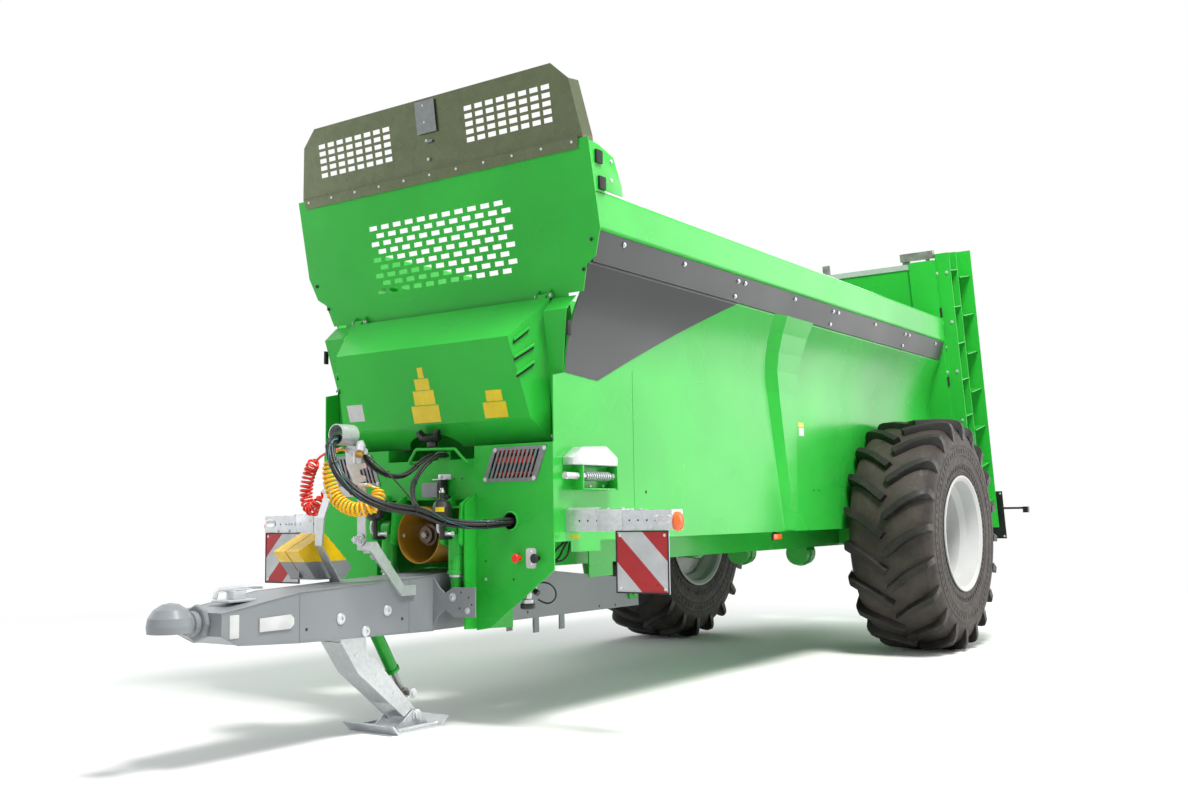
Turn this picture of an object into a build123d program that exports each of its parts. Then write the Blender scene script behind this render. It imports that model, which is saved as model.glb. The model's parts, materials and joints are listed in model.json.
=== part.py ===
from build123d import *
import os
from math import atan, cos, degrees, radians, sin, sqrt, tan

# Towed manure spreader with a narrow body, a single axle and two vertical beaters.
# Millimetres. +X is the machine's left side, +Y is rearward, +Z is up, ground at z = 0.
# The sides curve outward to a box rail; headboard and tailgate both lean forward.

os.makedirs("parts", exist_ok=True)

# ---------------------------------------------------------------- driving dimensions
BOARD_Y = -2422.0                 # station of the marker boards, from which the front is set out
PLATE = 6.0                       # body sheet
FIT = 0.05                        # radial clearance of a shaft in its own bearing
GAP = 0.3                         # gap between pieces that seat on each other
CLEAR = 6.0                       # gap beside moving pieces

# Wheels
AXLE_Y = BOARD_Y + 4230.0
TYRE_RADIUS = 877.5
TYRE_WIDTH = 645.0
TRACK = 2305.0
LUG_HEIGHT = 44.0
LUG_COUNT = 20
RIM_RADIUS = 435.0
RIM_WIDTH = 627.0
SEAT_RADIUS = RIM_RADIUS - 26.3   # where the bead sits, at its outer end
SEAT_SLOPE = 0.0875
AXLE_Z = TYRE_RADIUS
WHEEL_X = TRACK / 2
HUB_RADIUS = 135.0
HUB_INNER_X = 885.0
SPINDLE_RADIUS = 45.0
AXLE_SIZE = 150.0

# Body
SIDE_X = 818.0                    # outer face of the upright part of a side
SIDE_FOOT_Z = 929.0
BEND_Z = 1850.0                   # above this the side curves outward
FLARE_X = 955.0
FLARE_Z = 2330.0
RAIL_X = 1023.0
RAIL_WIDTH = 98.0
RAIL_FOOT_Z = 2495.0
RAIL_TOP_Z = 2705.0
RAIL_WALL = 5.0
STRIP_FOOT_Z = 2342.0
FLOOR_Z = 1130.0
FLOOR_PLATE = 8.0
SIDE_FRONT_Y = BOARD_Y - 90.0     # front edge of the sides, below the headboard's shoulders

# Headboard: leans forward by HEAD_SLOPE in y for each unit of height
HEAD_TOP_Z = 2938.0
HEAD_TOP_Y = BOARD_Y - 95.0
HEAD_SLOPE = 0.2055
HEAD_PLATE = 5.0

# Tailgate plane: leans forward too
GATE_Z = 1000.0                   # height at which GATE_Y is measured
GATE_Y = BOARD_Y + 5610.0
GATE_SLOPE = 0.2
GATE_TOP = 2230.0                 # height of the gate's top along the lean
GATE_TRAVEL = 1250.0
GATE_HALF = 800.0
GATE_DEPTH = 40.0
POST_DEPTH = 74.0
POST_X = 1000.0
POST_TOP = 2240.0

# Beaters
BEATER_X = 488.0
BEATER_RADIUS = 465.0
BEATER_DEPTH = 580.0              # axis behind the tailgate plane
BEATER_CORE = 95.0
BEATER_TOP = 2040.0
DISC_RADIUS = 478.0

# Drawbar
HITCH_Z = 621.0
HITCH_Y = BOARD_Y - 1705.0
BEAM_HALF = 150.0
BEAM_WALL = 10.0
BEAM_FRONT_Y = BOARD_Y - 1560.0
BEAM_END_Y = BOARD_Y + 1700.0
PIVOT = (BOARD_Y + 1625.0, 570.0)       # drawbar pivot under the chassis, as (y, z)
PIVOT_RADIUS = 25.0

# Parking stand: leg pivot, foot pin, cylinder pivot and rod eye, as (y, z)
LEG_PIN = (BOARD_Y - 720.0, 520.0)
FOOT_PIN = (BOARD_Y - 300.0, 62.0)
BARREL_PIN = (BOARD_Y - 600.0, 645.0)
ROD_EYE = (BOARD_Y - 310.0, 170.0)
LEG_HALF = 70.0
LEG_PLATE = 8.0

# ---------------------------------------------------------------- helpers
head_angle = atan(HEAD_SLOPE)
gate_angle = atan(GATE_SLOPE)
axle_plane = Plane((0, AXLE_Y, AXLE_Z), x_dir=(0, 1, 0), z_dir=(1, 0, 0))
head_plane = Plane(
    (0, HEAD_TOP_Y, HEAD_TOP_Z), x_dir=(1, 0, 0), z_dir=(0, -cos(head_angle), -sin(head_angle))
)
gate_plane = Plane((0, GATE_Y, GATE_Z), x_dir=(1, 0, 0), z_dir=(0, -sin(gate_angle), cos(gate_angle)))


def headboard_y(z):
    """Station of the headboard's front face at a height."""
    return HEAD_TOP_Y + (HEAD_TOP_Z - z) * HEAD_SLOPE


def gate_y(z):
    """Station of the tailgate plane at a height."""
    return GATE_Y + (GATE_Z - z) * GATE_SLOPE


def on_head(x, z):
    """A point of the headboard's plane at a height, in that plane's own coordinates."""
    return (x, (z - HEAD_TOP_Z) / cos(head_angle))


def prism(plane, points, length, mode=Mode.ADD):
    """A polygon drawn on a plane and pulled out along the plane's normal."""
    with BuildSketch(plane) as outline:
        with BuildLine():
            Polyline(*points, close=True)
        make_face()
    extrude(outline.sketch, amount=length, mode=mode)


def block(x, y, z, mode=Mode.ADD):
    """A box given by its low and high limits on each axis."""
    with Locations(((x[0] + x[1]) / 2, (y[0] + y[1]) / 2, (z[0] + z[1]) / 2)):
        Box(abs(x[1] - x[0]), abs(y[1] - y[0]), z[1] - z[0], mode=mode)


def rod(start, end, radius, mode=Mode.ADD):
    """A round bar from one point to another."""
    axis = Vector(*end) - Vector(*start)
    with BuildSketch(Plane(start, z_dir=axis)) as section:
        Circle(radius)
    extrude(section.sketch, amount=axis.length, mode=mode)


def column(x, depth, low, high, mode=Mode.ADD):
    """A bar parallel to the lean of the tailgate, given across, behind and along it."""
    with BuildSketch(gate_plane.offset(low)) as section:
        with Locations(((x[0] + x[1]) / 2, (depth[0] + depth[1]) / 2)):
            Rectangle(abs(x[1] - x[0]), abs(depth[1] - depth[0]))
    extrude(section.sketch, amount=high - low, mode=mode)


def leaning_rod(x, depth, low, high, radius, mode=Mode.ADD):
    """A round bar parallel to the lean of the tailgate."""
    with BuildSketch(gate_plane.offset(low)) as section:
        with Locations((x, depth)):
            Circle(radius)
    extrude(section.sketch, amount=high - low, mode=mode)


def save(piece, name):
    """Label a finished piece and write its file."""
    piece.part.label = name
    export_step(piece.part, "parts/" + name + ".step")


# ---------------------------------------------------------------- body sides
flare_half = atan((FLARE_X - SIDE_X) / (FLARE_Z - BEND_Z))
flare_angle = degrees(2 * flare_half)
flare_radius = (FLARE_Z - BEND_Z) / sin(2 * flare_half)


def side_wall(front_y, rear_y, side, out_of_face, thickness):
    """A sheet along a side: upright, then curving outward, then upright to the rail."""
    centre = (side * (SIDE_X + flare_radius), BEND_Z)
    outer = flare_radius - out_of_face
    inner = outer + thickness
    start = 180 if side > 0 else 0
    with BuildSketch(Plane.XZ.offset(-rear_y)) as section:
        with BuildLine():
            a = CenterArc(centre, outer, start, -side * flare_angle)
            b = CenterArc(centre, inner, start, -side * flare_angle)
            top_outer = (side * (FLARE_X + out_of_face), RAIL_FOOT_Z)
            top_inner = (side * (FLARE_X + out_of_face - thickness), RAIL_FOOT_Z)
            foot_outer = (side * (SIDE_X + out_of_face), SIDE_FOOT_Z)
            foot_inner = (side * (SIDE_X + out_of_face - thickness), SIDE_FOOT_Z)
            Polyline(a @ 1, top_outer, top_inner, b @ 1)
            Polyline(b @ 0, foot_inner, foot_outer, a @ 0)
        make_face()
    extrude(section.sketch, amount=rear_y - front_y)


def face_x(z):
    """Outer face of a side at a height."""
    if z <= BEND_Z:
        return SIDE_X
    return SIDE_X + flare_radius - sqrt(flare_radius**2 - (z - BEND_Z) ** 2)


SHOULDER_Z = 2196.0
COWL_FOOT_Z = 1760.0
side_outline = [
    (SIDE_FRONT_Y, SIDE_FOOT_Z),
    (SIDE_FRONT_Y, COWL_FOOT_Z),
    (BOARD_Y + 5, COWL_FOOT_Z + 20),
    (headboard_y(SHOULDER_Z) + HEAD_PLATE + GAP, SHOULDER_Z),
    (headboard_y(RAIL_FOOT_Z) + HEAD_PLATE + GAP, RAIL_FOOT_Z),
    (gate_y(RAIL_FOOT_Z) - GAP, RAIL_FOOT_Z),
    (gate_y(SIDE_FOOT_Z) - GAP, SIDE_FOOT_Z),
]
# Pillar: height, front foot, front edge and rear behind the marker boards, depth
PILLAR = [
    (SIDE_FOOT_Z + 11, 2482, 2550, 2600, 40),
    (BEND_Z, 2275, 2360, 2628, 50),
    (BEND_Z + 140, 2238, 2318, 2633, 50),
    (BEND_Z + 260, 2205, 2300, 2645, 48),
    (BEND_Z + 380, 2170, 2290, 2660, 40),
    (STRIP_FOOT_Z - GAP, 2132, 2272, 2674, 25),
]
NOTCH_HALF = 130.0
NOTCH_Z = AXLE_Z + AXLE_SIZE / 2 + 20
for side, name in ((1, "left_side"), (-1, "right_side")):
    with BuildPart() as body_side:
        side_wall(SIDE_FRONT_Y, GATE_Y + 500, side, 0, PLATE)
        prism(Plane.YZ.offset(-RAIL_X), side_outline, 2 * RAIL_X, mode=Mode.INTERSECT)
        block(
            (side * (SIDE_X - 2 * PLATE), side * (SIDE_X + PLATE)),
            (AXLE_Y - NOTCH_HALF, AXLE_Y + NOTCH_HALF),
            (SIDE_FOOT_Z - 10, NOTCH_Z),
            mode=Mode.SUBTRACT,
        )
        # Lower lug behind the marker arm
        block(
            (side * (SIDE_X - PLATE), side * SIDE_X),
            (BOARD_Y + 47, BOARD_Y + 305),
            (SIDE_FOOT_Z - 55, SIDE_FOOT_Z + 10),
        )
        # Tapered pillar of folded sheet
        for height, foot, edge, rear, depth in PILLAR:
            base_x = side * (face_x(height) - PLATE / 2)
            outer_x = side * (face_x(height) + depth)
            with BuildSketch(Plane.XY.offset(height)):
                with BuildLine():
                    Polyline(
                        (base_x, BOARD_Y + foot),
                        (outer_x, BOARD_Y + edge),
                        (outer_x, BOARD_Y + rear),
                        (base_x, BOARD_Y + rear),
                        close=True,
                    )
                make_face()
        loft(ruled=True)
    save(body_side, name)

# ---------------------------------------------------------------- top rails
RAIL_CORNER = 22.0
for side, name in ((1, "left_rail"), (-1, "right_rail")):
    with BuildPart() as rail:
        with BuildSketch(Plane.XZ.offset(-GATE_Y - 500)):
            with Locations((side * (RAIL_X - RAIL_WIDTH / 2), (RAIL_FOOT_Z + RAIL_TOP_Z) / 2)):
                RectangleRounded(RAIL_WIDTH, RAIL_TOP_Z - RAIL_FOOT_Z, RAIL_CORNER)
                RectangleRounded(
                    RAIL_WIDTH - 2 * RAIL_WALL,
                    RAIL_TOP_Z - RAIL_FOOT_Z - 2 * RAIL_WALL,
                    RAIL_CORNER - RAIL_WALL,
                    mode=Mode.SUBTRACT,
                )
        extrude(amount=GATE_Y + 500 - SIDE_FRONT_Y)
        prism(
            Plane.YZ.offset(-RAIL_X),
            [
                (headboard_y(RAIL_FOOT_Z) + HEAD_PLATE + GAP, RAIL_FOOT_Z),
                (gate_y(RAIL_FOOT_Z) - GAP, RAIL_FOOT_Z),
                (gate_y(RAIL_TOP_Z) - GAP, RAIL_TOP_Z),
                (headboard_y(RAIL_TOP_Z) + HEAD_PLATE + GAP, RAIL_TOP_Z),
            ],
            2 * RAIL_X,
            mode=Mode.INTERSECT,
        )
    save(rail, name)

# ---------------------------------------------------------------- grey strips under the rails
STRIP_FOOT_X = 968.0
STRIP_TOP_X = 1012.0
STRIP_PLATE = 3.0
with BuildPart() as rail_strips:
    for side in (1, -1):
        prism(
            Plane.XZ.offset(-(gate_y(RAIL_FOOT_Z) - 10)),
            [
                (side * STRIP_TOP_X, RAIL_FOOT_Z),
                (side * STRIP_FOOT_X, STRIP_FOOT_Z),
                (side * FLARE_X, STRIP_FOOT_Z),
                (side * FLARE_X, STRIP_FOOT_Z + STRIP_PLATE),
                (side * (STRIP_FOOT_X - STRIP_PLATE), STRIP_FOOT_Z + STRIP_PLATE),
                (side * (STRIP_TOP_X - STRIP_PLATE), RAIL_FOOT_Z),
            ],
            gate_y(RAIL_FOOT_Z) - 10 - BOARD_Y - 60,
        )
save(rail_strips, "rail_strips")

# ---------------------------------------------------------------- grey trim panels
with BuildPart() as trim_panels:
    for side in (1, -1):
        side_wall(BOARD_Y - 50, BOARD_Y + 1900, side, STRIP_PLATE, STRIP_PLATE)
    prism(
        Plane.YZ.offset(-RAIL_X),
        [
            (BOARD_Y + 10, 1782),
            (BOARD_Y + 300, 1762),
            (BOARD_Y + 1640, STRIP_FOOT_Z - GAP),
            (headboard_y(STRIP_FOOT_Z) + HEAD_PLATE + GAP, STRIP_FOOT_Z - GAP),
            (headboard_y(SHOULDER_Z) + HEAD_PLATE + GAP, SHOULDER_Z),
        ],
        2 * RAIL_X,
        mode=Mode.INTERSECT,
    )
save(trim_panels, "trim_panels")

# ---------------------------------------------------------------- headboard
HINGE_RADIUS = 12.0
HINGE_PIN = 6.0
hinge_y = BOARD_Y + 34
hinge_z = 2192.0
HEAD_EDGE = [(1055, 2938), (1059, 2491), (1011, 2361), (949, 2323), (908, SHOULDER_Z)]
INNER_X = SIDE_X - PLATE - GAP
head_outline = [on_head(x, z) for x, z in HEAD_EDGE]
head_outline += [on_head(INNER_X, SHOULDER_Z), on_head(INNER_X, FLOOR_Z + 3)]
SLOT_ROWS = 9
SLOT_COLUMNS = 11
SLOT_PITCH_X = 92.0
SLOT_PITCH_Z = 44.0
SLOT_LENGTH = 62.0
SLOT_HEIGHT = 26.0
SLOT_MIDDLE_Z = 2530.0
with BuildPart() as headboard:
    with BuildSketch(head_plane):
        with BuildLine():
            Polyline(*head_outline, *[(-x, y) for x, y in reversed(head_outline)], close=True)
        make_face()
        for row in range(SLOT_ROWS):
            shift = SLOT_PITCH_X / 4 if row % 2 else -SLOT_PITCH_X / 4
            height = SLOT_MIDDLE_Z + (row - (SLOT_ROWS - 1) / 2) * SLOT_PITCH_Z
            with Locations(on_head(shift, height)):
                with GridLocations(SLOT_PITCH_X, 1, SLOT_COLUMNS, 1):
                    Rectangle(SLOT_LENGTH, SLOT_HEIGHT, mode=Mode.SUBTRACT)
    extrude(amount=-HEAD_PLATE)
    # Side returns that close the ends of the rails
    for side in (1, -1):
        prism(
            Plane.YZ.offset(side * RAIL_X + (GAP if side > 0 else -GAP)),
            [
                (headboard_y(RAIL_TOP_Z - 15) + 1, RAIL_TOP_Z - 15),
                (headboard_y(HEAD_TOP_Z) + 3, HEAD_TOP_Z - 2),
                (headboard_y(HEAD_TOP_Z) + 100, HEAD_TOP_Z - 2),
                (headboard_y(HEAD_TOP_Z) + 180, HEAD_TOP_Z - 80),
                (headboard_y(HEAD_TOP_Z) + 190, RAIL_TOP_Z - 15),
            ],
            side * PLATE,
        )
    # Ears and pins of the hood's hinges
    for side in (1, -1):
        for x in (640 - CLEAR - 6, 700 + CLEAR):
            prism(
                Plane.YZ.offset(side * x),
                [(hinge_y - 12, hinge_z - 12), (headboard_y(hinge_z - 12) + 2, hinge_z - 12),
                 (headboard_y(hinge_z + 40) + 2, hinge_z + 40), (hinge_y - 12, hinge_z + 12)],
                side * 6,
            )
        rod((side * 630, hinge_y, hinge_z), (side * 710, hinge_y, hinge_z), HINGE_PIN)
save(headboard, "headboard")

# ---------------------------------------------------------------- galvanised screen
SCREEN_FOOT_Z = 2900.0
SCREEN_PLATE = 3.0
SCREEN_EDGE = [(1020, 0), (1020, 56), (967, 350), (866, 446)]
SCREEN_TAN = 0.15
SCREEN_RETURN = 90.0
screen_angle = atan(SCREEN_TAN)
screen_plane = Plane(
    (0, headboard_y(SCREEN_FOOT_Z) + HEAD_PLATE / cos(head_angle) + GAP, SCREEN_FOOT_Z),
    x_dir=(1, 0, 0),
    z_dir=(0, -cos(screen_angle), -sin(screen_angle)),
)
with BuildPart() as screen:
    with BuildSketch(screen_plane):
        with BuildLine():
            Polyline(*SCREEN_EDGE, *[(-x, y) for x, y in reversed(SCREEN_EDGE)], close=True)
        make_face()
        for side in (1, -1):
            with Locations((side * 560, 250)):
                with GridLocations(74, 42, 8, 5):
                    Rectangle(54, 26, mode=Mode.SUBTRACT)
    extrude(amount=-SCREEN_PLATE)
    # Ends folded rearward
    for side in (1, -1):
        low, shoulder, high = SCREEN_EDGE[0], SCREEN_EDGE[1], SCREEN_EDGE[2]
        inner = [(x - SCREEN_PLATE, y) for x, y in (high, shoulder, low)]
        fold = [(side * x, y) for x, y in [low, shoulder, high] + inner]
        prism(screen_plane, fold, -SCREEN_RETURN)
save(screen, "screen")

# ---------------------------------------------------------------- floor and its chains
CHAIN_RADIUS = 55.0
CHAIN_LINK = 14.0
SHAFT_Z = FLOOR_Z - CHAIN_RADIUS + CHAIN_LINK / 2 + 1
SHAFT_RADIUS = 25.0
FRONT_SHAFT_Y = headboard_y(FLOOR_Z) + 170
REAR_SHAFT_Y = GATE_Y - 120
CHAIN_X = 430.0
SLAT_HALF = 740.0
SLAT_PITCH = 380.0
with BuildPart() as floor:
    block((-INNER_X, INNER_X), (FRONT_SHAFT_Y + 80, REAR_SHAFT_Y - 80), (FLOOR_Z - FLOOR_PLATE, FLOOR_Z))
save(floor, "floor")

with BuildPart() as floor_shafts:
    for y in (FRONT_SHAFT_Y, REAR_SHAFT_Y):
        rod((-INNER_X, y, SHAFT_Z), (INNER_X, y, SHAFT_Z), SHAFT_RADIUS)
        for side in (1, -1):
            x = side * CHAIN_X
            rod((x - 15, y, SHAFT_Z), (x + 15, y, SHAFT_Z), CHAIN_RADIUS - CHAIN_LINK / 2 - 1)
save(floor_shafts, "floor_shafts")

chain_middle = (FRONT_SHAFT_Y + REAR_SHAFT_Y) / 2
chain_reach = REAR_SHAFT_Y - FRONT_SHAFT_Y
with BuildPart() as floor_chains:
    for side in (1, -1):
        with BuildSketch(Plane.YZ.offset(side * CHAIN_X - 24)):
            with Locations((chain_middle, SHAFT_Z)):
                SlotCenterToCenter(chain_reach, 2 * CHAIN_RADIUS + CHAIN_LINK)
                SlotCenterToCenter(chain_reach, 2 * CHAIN_RADIUS - CHAIN_LINK, mode=Mode.SUBTRACT)
        extrude(amount=48)
    run_count = int(chain_reach / SLAT_PITCH)
    for k in range(run_count):
        y = FRONT_SHAFT_Y + (k + 0.5) * SLAT_PITCH
        top = SHAFT_Z + CHAIN_RADIUS + CHAIN_LINK / 2
        low = SHAFT_Z - CHAIN_RADIUS - CHAIN_LINK / 2
        block((-SLAT_HALF, SLAT_HALF), (y - 22, y + 22), (top - 5, top + 20))
        block((-SLAT_HALF, SLAT_HALF), (y - 22, y + 22), (low - 20, low + 5))
save(floor_chains, "floor_chains")

# ---------------------------------------------------------------- chassis and axle
BEAM_X = 440.0
CHASSIS_FRONT_Y = BOARD_Y + 250.0
HANGER_X = 600.0
HANGER_Y = BOARD_Y + 620.0
HANGER_FOOT_Z = 722.0
CHASSIS_TOP_Z = SHAFT_Z - CHAIN_RADIUS - CHAIN_LINK / 2 - 32
with BuildPart() as chassis:
    for side in (1, -1):
        block(
            (side * BEAM_X - 40, side * BEAM_X + 40),
            (CHASSIS_FRONT_Y, GATE_Y + 90),
            (CHASSIS_TOP_Z - 200, CHASSIS_TOP_Z),
        )
        block(
            (side * BEAM_X - 32, side * BEAM_X + 32),
            (CHASSIS_FRONT_Y, GATE_Y + 90),
            (CHASSIS_TOP_Z - 190, CHASSIS_TOP_Z - 10),
            mode=Mode.SUBTRACT,
        )
    for k in range(7):
        y = CHASSIS_FRONT_Y + 40 + k * (GATE_Y - 150 - CHASSIS_FRONT_Y) / 6
        if abs(y - AXLE_Y) > 200:
            block((-BEAM_X + 40, BEAM_X - 40), (y - 30, y + 30), (CHASSIS_TOP_Z - 60, CHASSIS_TOP_Z))
            for side in (1, -1):
                block(
                    (side * (BEAM_X + 40), side * INNER_X), (y - 30, y + 30),
                    (CHASSIS_TOP_Z - 60, CHASSIS_TOP_Z),
                )
    # Outriggers with a hanging plate behind the marker arms
    for side in (1, -1):
        block(
            (side * (BEAM_X + 40), side * INNER_X),
            (HANGER_Y - 30, HANGER_Y + 30),
            (CHASSIS_TOP_Z - 60, CHASSIS_TOP_Z),
        )
        block(
            (side * (HANGER_X - 5), side * (HANGER_X + 5)),
            (HANGER_Y - 113, HANGER_Y + 113),
            (HANGER_FOOT_Z, CHASSIS_TOP_Z - 20),
        )
    block((-BEAM_X + 40, BEAM_X - 40), (PIVOT[0] - 60, PIVOT[0] + 60), (CHASSIS_TOP_Z - 200, CHASSIS_TOP_Z))
    for side in (1, -1):
        prism(
            Plane.YZ.offset(side * (BEAM_HALF + GAP)),
            [(PIVOT[0] - 45, PIVOT[1] - 45), (PIVOT[0] + 45, PIVOT[1] - 45),
             (PIVOT[0] + 110, CHASSIS_TOP_Z - 200), (PIVOT[0] + 60, CHASSIS_TOP_Z - 100),
             (PIVOT[0] - 60, CHASSIS_TOP_Z - 100), (PIVOT[0] - 110, CHASSIS_TOP_Z - 200)],
            side * 16,
        )
    rod(
        (-BEAM_HALF - 17, *PIVOT), (BEAM_HALF + 17, *PIVOT), PIVOT_RADIUS + FIT,
        mode=Mode.SUBTRACT,
    )
    block(
        (-INNER_X, INNER_X),
        (AXLE_Y - AXLE_SIZE / 2 - GAP, AXLE_Y + AXLE_SIZE / 2 + GAP),
        (AXLE_Z - AXLE_SIZE / 2 - GAP, AXLE_Z + AXLE_SIZE / 2 + GAP),
        mode=Mode.SUBTRACT,
    )
save(chassis, "chassis")

with BuildPart() as axle:
    half = HUB_INNER_X - 45
    block(
        (-half, half),
        (AXLE_Y - AXLE_SIZE / 2, AXLE_Y + AXLE_SIZE / 2),
        (AXLE_Z - AXLE_SIZE / 2, AXLE_Z + AXLE_SIZE / 2),
    )
    for side in (1, -1):
        rod((side * half, AXLE_Y, AXLE_Z), (side * (half + 250), AXLE_Y, AXLE_Z), SPINDLE_RADIUS)
        rod((side * (half - 5), AXLE_Y, AXLE_Z), (side * (half + 35), AXLE_Y, AXLE_Z), 190)
        rod(
            (side * (half + 30), AXLE_Y, AXLE_Z), (side * (HUB_INNER_X - GAP), AXLE_Y, AXLE_Z), 75
        )
save(axle, "axle")

# ---------------------------------------------------------------- wheels
LUG_WIDTH = 58.0
LUG_BEND = 150.0                  # where a lug turns towards the shoulder
LUG_NOSE = -125.0                 # how far a lug's inner end lies ahead of its middle
LUG_TAIL = 62.0


def lug_bar(x_low, x_high, y_low, y_high, base):
    """One straight stretch of a tread lug, at the top of a wheel centred on x = 0."""
    middle = (y_low + y_high) / 2
    half_run = abs(y_high - y_low) / 2 + LUG_WIDTH / 2
    crown = sqrt(TYRE_RADIUS**2 - half_run**2)
    with BuildPart() as bar:
        prism(
            Plane.XY.offset(base),
            [
                (x_low, y_low - middle - LUG_WIDTH / 2),
                (x_high, y_high - middle - LUG_WIDTH / 2),
                (x_high, y_high - middle + LUG_WIDTH / 2),
                (x_low, y_low - middle + LUG_WIDTH / 2),
            ],
            crown - base,
        )
    return bar.part.rotate(Axis.X, -degrees(middle / TYRE_RADIUS))


def lug_ring(x0):
    """All lugs of one tyre, the two halves half a pitch apart."""
    pitch = 360 / LUG_COUNT
    lugs = []
    for flip in (1, -1):
        shoulder = TYRE_WIDTH / 2 - 18
        bars = [
            lug_bar(8, LUG_BEND, LUG_NOSE, -8, TYRE_RADIUS - LUG_HEIGHT - 30),
            lug_bar(LUG_BEND - 12, shoulder, -14, LUG_TAIL, TYRE_RADIUS - 110),
        ]
        for bar in bars:
            half = bar if flip > 0 else bar.mirror(Plane.YZ)
            for k in range(LUG_COUNT):
                turned = half.rotate(Axis.X, (k + (0.5 if flip < 0 else 0)) * pitch)
                lugs.append(turned.moved(Location((x0, AXLE_Y, AXLE_Z))))
    return lugs


def ring_section(x, radius):
    """A flat-sided outline across the wheel's axis, two flats to each lug pitch."""
    with BuildSketch(Plane((x, AXLE_Y, AXLE_Z), x_dir=(0, 1, 0), z_dir=(1, 0, 0))) as section:
        RegularPolygon(radius, 2 * LUG_COUNT, major_radius=False)
    return section


def flat_sided(x0, half_profile):
    """A body of a tyre's section, given from the bead to the crown on one side."""
    profile = [(-x, r) for x, r in half_profile] + list(reversed(half_profile))
    sections = [ring_section(x0 + x, r) for x, r in profile]
    with BuildPart() as body:
        loft(sections=[each.sketch for each in sections], ruled=True)
    return body.part


for side, name in ((1, "left"), (-1, "right")):
    x0 = side * WHEEL_X
    half = TYRE_WIDTH / 2
    bead = RIM_WIDTH / 2 - 22
    carcass = TYRE_RADIUS - LUG_HEIGHT
    bead_foot = SEAT_RADIUS + GAP
    outside = [
        (bead, bead_foot), (bead + 8, RIM_RADIUS + 8), (half - 2, 590), (half - 3, 700),
        (half - 48, 790), (200, carcass - 8),
    ]
    hollow = [(bead - 20, bead_foot), (half - 50, 640), (half - 110, 770)]
    with BuildPart() as tyre:
        add(flat_sided(x0, outside))
        add(flat_sided(x0, hollow), mode=Mode.SUBTRACT)
        bore = [(bead + 1, bead_foot), (bead - 21, bead_foot)]
        for end in (1, -1):
            sections = [ring_section(x0 + end * x, r) for x, r in bore]
            loft(sections=[each.sketch for each in sections], ruled=True, mode=Mode.SUBTRACT)
        add(lug_ring(x0))
    save(tyre, name + "_tyre")

    with BuildPart() as rim:
        with BuildSketch(Plane((x0, AXLE_Y, AXLE_Z), x_dir=(side, 0, 0), z_dir=(0, -side, 0))):
            edge = RIM_WIDTH / 2
            with BuildLine():
                Polyline(
                    (edge, RIM_RADIUS), (edge, RIM_RADIUS - 12), (edge - 16, RIM_RADIUS - 38),
                    (edge - 110, RIM_RADIUS - 48), (edge - 150, RIM_RADIUS - 90),
                    (-edge + 110, RIM_RADIUS - 90), (-edge + 70, RIM_RADIUS - 48),
                    (-edge + 16, RIM_RADIUS - 38), (-edge, RIM_RADIUS - 12), (-edge, RIM_RADIUS),
                    (-edge + 10, RIM_RADIUS), (-edge + 20, SEAT_RADIUS),
                    (-edge + 76, SEAT_RADIUS - 56 * SEAT_SLOPE),
                    (-edge + 116, RIM_RADIUS - 78), (edge - 156, RIM_RADIUS - 78),
                    (edge - 116, SEAT_RADIUS - 96 * SEAT_SLOPE), (edge - 20, SEAT_RADIUS),
                    (edge - 10, RIM_RADIUS),
                    close=True,
                )
            make_face()
        revolve(axis=Axis((0, AXLE_Y, AXLE_Z), (1, 0, 0)))
        with BuildSketch(axle_plane.offset(side * 985)):
            Circle(RIM_RADIUS - 85)
            Circle(HUB_RADIUS - 30, mode=Mode.SUBTRACT)
        extrude(amount=side * 14)
        with BuildSketch(axle_plane.offset(side * HUB_INNER_X)):
            Circle(HUB_RADIUS)
        extrude(amount=side * 230)
        rod(
            (side * (HUB_INNER_X - 5), AXLE_Y, AXLE_Z),
            (side * (HUB_INNER_X + 215), AXLE_Y, AXLE_Z),
            SPINDLE_RADIUS + FIT,
            mode=Mode.SUBTRACT,
        )
    save(rim, name + "_rim")


# ---------------------------------------------------------------- hood over the drive
HOOD_TOP = (BOARD_Y + 22, 2180)       # hinge line
HOOD_BROW = (BOARD_Y - 53, 2104)
HOOD_NOSE = (BOARD_Y - 200, 1963)
HOOD_CHIN = (BOARD_Y - 88, 1555)
HOOD_FOOT = (BOARD_Y + 22, 1433)
HOOD_SHEET = 4.0
HOOD_HALF = 722.0
HOOD_NOSE_HALF = 617.0


def hood_solid(inset):
    """The hood's closed outline, shrunk by a sheet's thickness for its hollow."""
    back = BOARD_Y + 22 + (1 if inset else 0)
    profile = [
        (back, HOOD_TOP[1] - 1.7 * inset),
        (HOOD_BROW[0] + 0.7 * inset, HOOD_BROW[1] - 1.2 * inset),
        (HOOD_NOSE[0] + 1.3 * inset, HOOD_NOSE[1] - 0.6 * inset),
        (HOOD_CHIN[0] + 1.1 * inset, HOOD_CHIN[1] + 0.6 * inset),
        (back, HOOD_FOOT[1] + 1.3 * inset),
    ]
    half = HOOD_HALF - inset
    nose = HOOD_NOSE_HALF - inset
    with BuildPart() as solid:
        prism(Plane.YZ.offset(-half), profile, 2 * half)
        for side in (1, -1):
            prism(
                Plane.XY.offset(HOOD_FOOT[1] - 50),
                [
                    (side * half, BOARD_Y + 12),
                    (side * nose, HOOD_NOSE[0] + inset),
                    (side * nose, HOOD_NOSE[0] - 60),
                    (side * (half + 20), HOOD_NOSE[0] - 60),
                    (side * (half + 20), BOARD_Y + 12),
                ],
                HOOD_TOP[1] - HOOD_FOOT[1] + 100,
                mode=Mode.SUBTRACT,
            )
    return solid.part


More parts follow.
